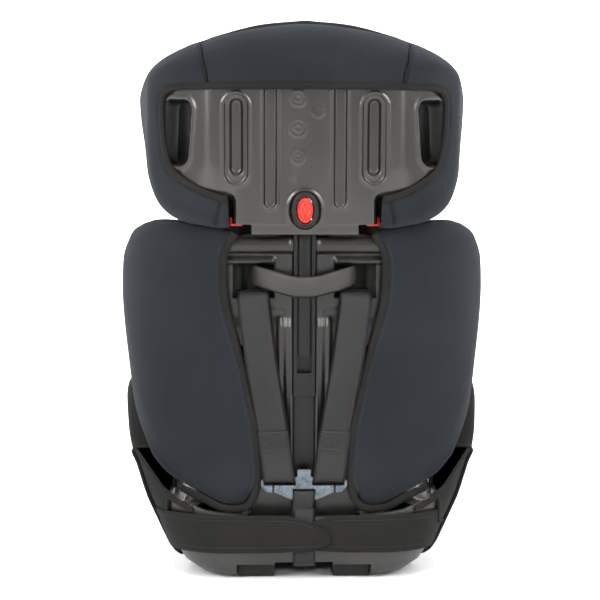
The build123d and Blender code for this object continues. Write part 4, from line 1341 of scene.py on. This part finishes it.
def rear_band(name, side):
    """Half of the elastic band round the back of the base; the left one laps over the right."""
    grow = 7.2 if side > 0 else 4.6
    reach = (-30, 212) if side > 0 else (-212, 14)
    count = 120
    rows = []
    for v in np.linspace(0, 1, 15):
        z = 32 + 39 * v
        x, y = rear_path(z, grow, reach, count)
        s = np.linspace(reach[0], reach[1], count)
        # upper edge dips to the lapped end, which is cut round
        lap = smooth_step(46, -30, s) if side > 0 else smooth_step(-60, 14, s)
        dip = 13.0 * lap ** 2
        lift = 3.0 * smooth_step(60, 190, np.abs(s))
        height = 31 + (42 - dip) * v + lift * v + 2.5 * lap * (1 - v)
        wave_out = 0.8 * np.sin(s / 19) * math.sin(math.pi * v) + 1.0 * math.sin(math.pi * v)
        edge = 1.4 * (abs(2 * v - 1) > 0.72)
        y = y + (wave_out + edge) * np.where(np.abs(x) < 120, 1, 0.3)
        rows.append(np.stack([x, y, height], axis=1))
    outer = np.array(rows)
    if side > 0:
        ends = 16
        for j in range(ends):
            t = 1 - j / ends
            squeeze = math.sqrt(max(0.0, 1 - t ** 2.2)) * 0.94 + 0.06
            middle = (outer[0, j] + outer[-1, j]) / 2
            outer[:, j] = middle + (outer[:, j] - middle) * squeeze
    lining = outer - np.array([0, 1.4, 0])
    made = closed_sheet("rear_band_" + name, standing(outer), standing(lining), [BLACK])
    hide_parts("rear_band_" + name)
    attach(made, "base")
    runs = [standing(outer[row] + np.array([0, 0.4, 0]))[8:-4] for row in (2, -3)]
    stitches("rear_band_stitching_" + name, runs, (0, 1, 0), "base")


# Upper edge of the fabric round a rear corner of the base, just under the wing panel, as (x, z)
CORNER_TOP = [(118, 76), (135, 84), (150, 92), (163, 103), (176, 122), (188, 142), (198, 160)]
CORNER_LIMIT = [(84, 220), (150, 138), (190, 116)]


def corner_cover(name, side):
    """The skirt's fabric carried round a rear corner of the base, down to the elastic band."""
    count = 70
    rows = []
    x_top, y_top = rear_path(120, 3.4, (126, 222), count)
    under_panel = np.interp(x_top, *np.array(CORNER_TOP).T)
    crest = np.minimum(under_panel, np.interp(y_top, *np.array(CORNER_LIMIT).T))
    foot = 60 + 36 * (1 - smooth_step(152, 166, x_top)) - 30 * smooth_step(178, 192, x_top)
    foot = np.minimum(foot, crest - 3)
    for v in np.linspace(0, 1, 26):
        z = foot + (crest - foot) * v
        line = []
        for s, height in zip(np.linspace(126, 222, count), z):
            slack = 0.8 * math.sin(s / 9 + v * 3) * v * (1 - v)
            x, y = rear_path(height, 3.4 + slack, (s, s), 1)
            line.append((x[0] * side, y[0], height))
        rows.append(line)
    outer = np.array(rows)
    centre_line = np.array([0, 60, 0])
    inward = centre_line - outer
    inward[..., 2] = 0
    inward /= np.linalg.norm(inward, axis=2)[..., None]
    made = closed_sheet("corner_cover_" + name, standing(outer), standing(outer + inward * 1.8), [BLACK])
    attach(made, "base")
    for tag, row in (("top", outer[-1]), ("foot", outer[0])):
        base_edging("corner_" + tag + "_" + name, row, 80, (side * 0.5, 0.8, 0.0), 2.4, 2.0)


for side_name, side_sign in SIDES:
    side_cover(side_name, side_sign)
    corner_cover(side_name, side_sign)
    rear_band(side_name, side_sign)


# ---------------------------------------------------------------- cushions swollen by simulation
soft_copy("seat_pad", NAVY, "base", voxel=6.0, cap=10.0, shrink=3.0)
soft_copy("crotch_pad", BLACK, "base", voxel=4.0, cap=5.0, shrink=1.0)
for side_name, side_sign in SIDES:
    soft_copy("shoulder_pad_" + side_name, BLACK, "backrest", voxel=4.0, cap=5.0,
              shrink=1.2)


# ---------------------------------------------------------------- hard pieces
# node, material, slot and bevel in millimetres
HARD = [
    ("seat_base_shell", BASE, "shell_plastic", 1.6), ("seat_pan", BASE, "shell_plastic", 1.0),
    ("runner_left", RUBBER, "rubber_foot", 2.5), ("runner_right", RUBBER, "rubber_foot", 2.5),
    ("height_rack", ZINC, "zinc_steel", 0.25), ("rack_rivets", ZINC, "zinc_steel", 0.3),
    ("hinge_pin", ZINC, "zinc_steel", 0.6), ("headrest_slider", DARK, "black_plastic", 0.6),
    ("slider_screws", ZINC, "zinc_steel", 0.4), ("latch_lever", DARK, "black_plastic", 0.5),
    ("latch_pin", ZINC, "zinc_steel", 0.3), ("yoke_plate", ZINC, "zinc_steel", 0.8),
    ("adjuster_housing", DARK, "black_plastic", 1.2), ("adjuster_lever", DARK, "black_plastic", 0.6),
    ("adjuster_pin", ZINC, "zinc_steel", 0.3), ("crotch_anchor", ZINC, "zinc_steel", 0.6),
    ("buckle_housing", DARK, "black_plastic", 2.2), ("buckle_button", RED, "red_plastic", 0.8),
    ("lap_anchors", ZINC, "zinc_steel", 0.5),
    ("harness_tongue_left", ZINC, "zinc_steel", 0.5), ("harness_tongue_right", ZINC, "zinc_steel", 0.5),
    ("shoulder_belt_guide_left", RED, "red_plastic", 0.8),
    ("shoulder_belt_guide_right", RED, "red_plastic", 0.8),
]
for node_name, finish, slot_name, worn in HARD:
    hard_copy(node_name, finish, worn)

live_spring("latch_spring")
live_spring("adjuster_spring")
live_spring("buckle_spring")


# ---------------------------------------------------------------- release button
BUTTON_HALF = (8.9, 14.4)
BUTTON_FOOT = 193.4       # the plane the button's face is measured from
BUTTON_DEEP = 6.0         # from that plane forward to the flat back


def button_face(r, angle):
    """A domed oval with a ring groove and four pads round a small middle oval."""
    dome = 1.8 * (1 - r ** 2) - 1.6 * float(round_over(np.array((1 - r) * 9), 2.0))
    ring = 2.2 * math.exp(-((r - 0.76) / 0.055) ** 2) + 1.8 * math.exp(-((r - 0.28) / 0.055) ** 2)
    cross = 0.0
    if 0.26 < r < 0.74:
        near = abs((angle / (math.pi / 2)) % 1 - 0.5)
        cross = 2.0 * math.exp(-(((0.5 - near) * r * 11) / 1.0) ** 2)
    return dome - max(ring, cross)


def release_button():
    """The oval button: rings of points over its face, closed by a flat back."""
    rings, turns = 22, 96
    wide, tall = BUTTON_HALF
    angles = [2 * math.pi * j / turns for j in range(turns)]
    points = [(0.0, BUTTON_FOOT + button_face(0, 0), BUTTON_Z)]
    for i in range(1, rings + 1):
        r = i / rings
        for a in angles:
            y = BUTTON_FOOT + button_face(r, a)
            points.append((wide * r * math.cos(a), y, BUTTON_Z + tall * r * math.sin(a)))
    faces = [(0, 1 + j, 1 + (j + 1) % turns) for j in range(turns)]
    for i in range(rings - 1):
        for j in range(turns):
            k = (j + 1) % turns
            a = 1 + i * turns
            faces.append((a + j, a + turns + j, a + turns + k, a + k))
    rim = 1 + (rings - 1) * turns
    back = len(points)
    for a in angles:
        points.append((wide * math.cos(a), BUTTON_FOOT - BUTTON_DEEP, BUTTON_Z + tall * math.sin(a)))
    faces += [(rim + j, back + j, back + (j + 1) % turns, rim + (j + 1) % turns) for j in range(turns)]
    faces.append(tuple(back + j for j in range(turns)))
    made = new_object("release_button", leaned(points), faces, [RED])
    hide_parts("release_button")
    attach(made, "release_button")


def button_bezel():
    """Dark oval ring round the release button."""
    turns = np.linspace(0, 2 * math.pi, 73)
    ring = leaned([(12.3 * math.cos(turn), 193.6, BUTTON_Z + 17.6 * math.sin(turn)) for turn in turns])
    out = np.tile([0, LEAN_COS, -LEAN_SIN], (len(turns), 1))
    made = tube("button_bezel", ring, 2.9 * MM, 2.0 * MM, out, [DARK], sides=14,
                closed=True)
    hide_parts("button_bezel")
    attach(made, "headrest")


release_button()
button_bezel()


# ---------------------------------------------------------------- studio
def backdrop():
    """A pale round floor that sweeps up into a low wall all round."""
    profile = [(0.0, 0.0), (1.6, 0.0), (2.8, 0.0), (3.4, 0.1), (3.8, 0.45), (4.0, 1.1), (4.05, 2.6)]
    line = spline(np.array(profile), 40)[1:]
    turns = 96
    points = [(0, 0, -0.0008)]
    for r, z in line:
        for j in range(turns):
            a = 2 * math.pi * j / turns
            points.append((r * math.cos(a), r * math.sin(a), z - 0.0008))
    faces = [(0, 1 + j, 1 + (j + 1) % turns) for j in range(turns)]
    for i in range(len(line) - 1):
        for j in range(turns):
            k = (j + 1) % turns
            first = 1 + i * turns
            faces.append((first + j, first + turns + j, first + turns + k, first + k))
    mesh = bpy.data.meshes.new("studio_floor")
    mesh.from_pydata(points, [], faces)
    mesh.materials.append(paper("studio paper", 0.93))
    shade_smooth(mesh)
    linked("studio_floor", mesh)


def soft_light(name, place, target, size, watts):
    """A white area light at a place, turned towards a target."""
    data = bpy.data.lights.new(name, "AREA")
    data.shape = "RECTANGLE"
    data.size, data.size_y = size
    data.energy = watts
    made = bpy.data.objects.new(name, data)
    made.location = place
    made.rotation_euler = (Vector(target) - Vector(place)).to_track_quat("-Z", "Y").to_euler()
    bpy.context.scene.collection.objects.link(made)


backdrop()
soft_light("key", (1.35, 1.8, 1.2), (0, 0.1, 0.35), (0.25, 1.5), 52)
soft_light("fill", (-1.35, 1.8, 1.2), (0, 0.1, 0.32), (0.25, 1.5), 42)
soft_light("top", (0, 0.3, 2.3), (0, 0.05, 0.3), (1.8, 0.9), 34)
soft_light("wall_left", (-1.8, -1.2, 2.6), (-1.0, -3.8, 0.6), (1.6, 1.6), 120)
soft_light("wall_right", (1.8, -1.2, 2.6), (1.0, -3.8, 0.6), (1.6, 1.6), 120)
soft_light("floor_wash", (0, 1.2, 2.6), (0, 0.9, 0), (2.6, 0.8), 26)

world = bpy.data.worlds.new("studio")
world.use_nodes = True
world.node_tree.nodes["Background"].inputs["Color"].default_value = (1, 1, 1, 1)
world.node_tree.nodes["Background"].inputs["Strength"].default_value = 0.38
bpy.context.scene.world = world
bpy.context.scene.view_settings.view_transform = "Standard"

CAMERA_DISTANCE = 1.75
CAMERA_ASIDE = 0.045
CAMERA_HEIGHT = 0.315
FOCAL_LENGTH = 83.76
lens = bpy.data.cameras.new("camera")
lens.sensor_width = 36.0
lens.lens = FOCAL_LENGTH
camera = bpy.data.objects.new("camera", lens)
camera.location = (CAMERA_ASIDE, CAMERA_DISTANCE, CAMERA_HEIGHT)
aim = Vector((0, 0, CAMERA_HEIGHT)) - camera.location
camera.rotation_euler = aim.to_track_quat("-Z", "Y").to_euler()
bpy.context.scene.collection.objects.link(camera)
bpy.context.scene.camera = camera
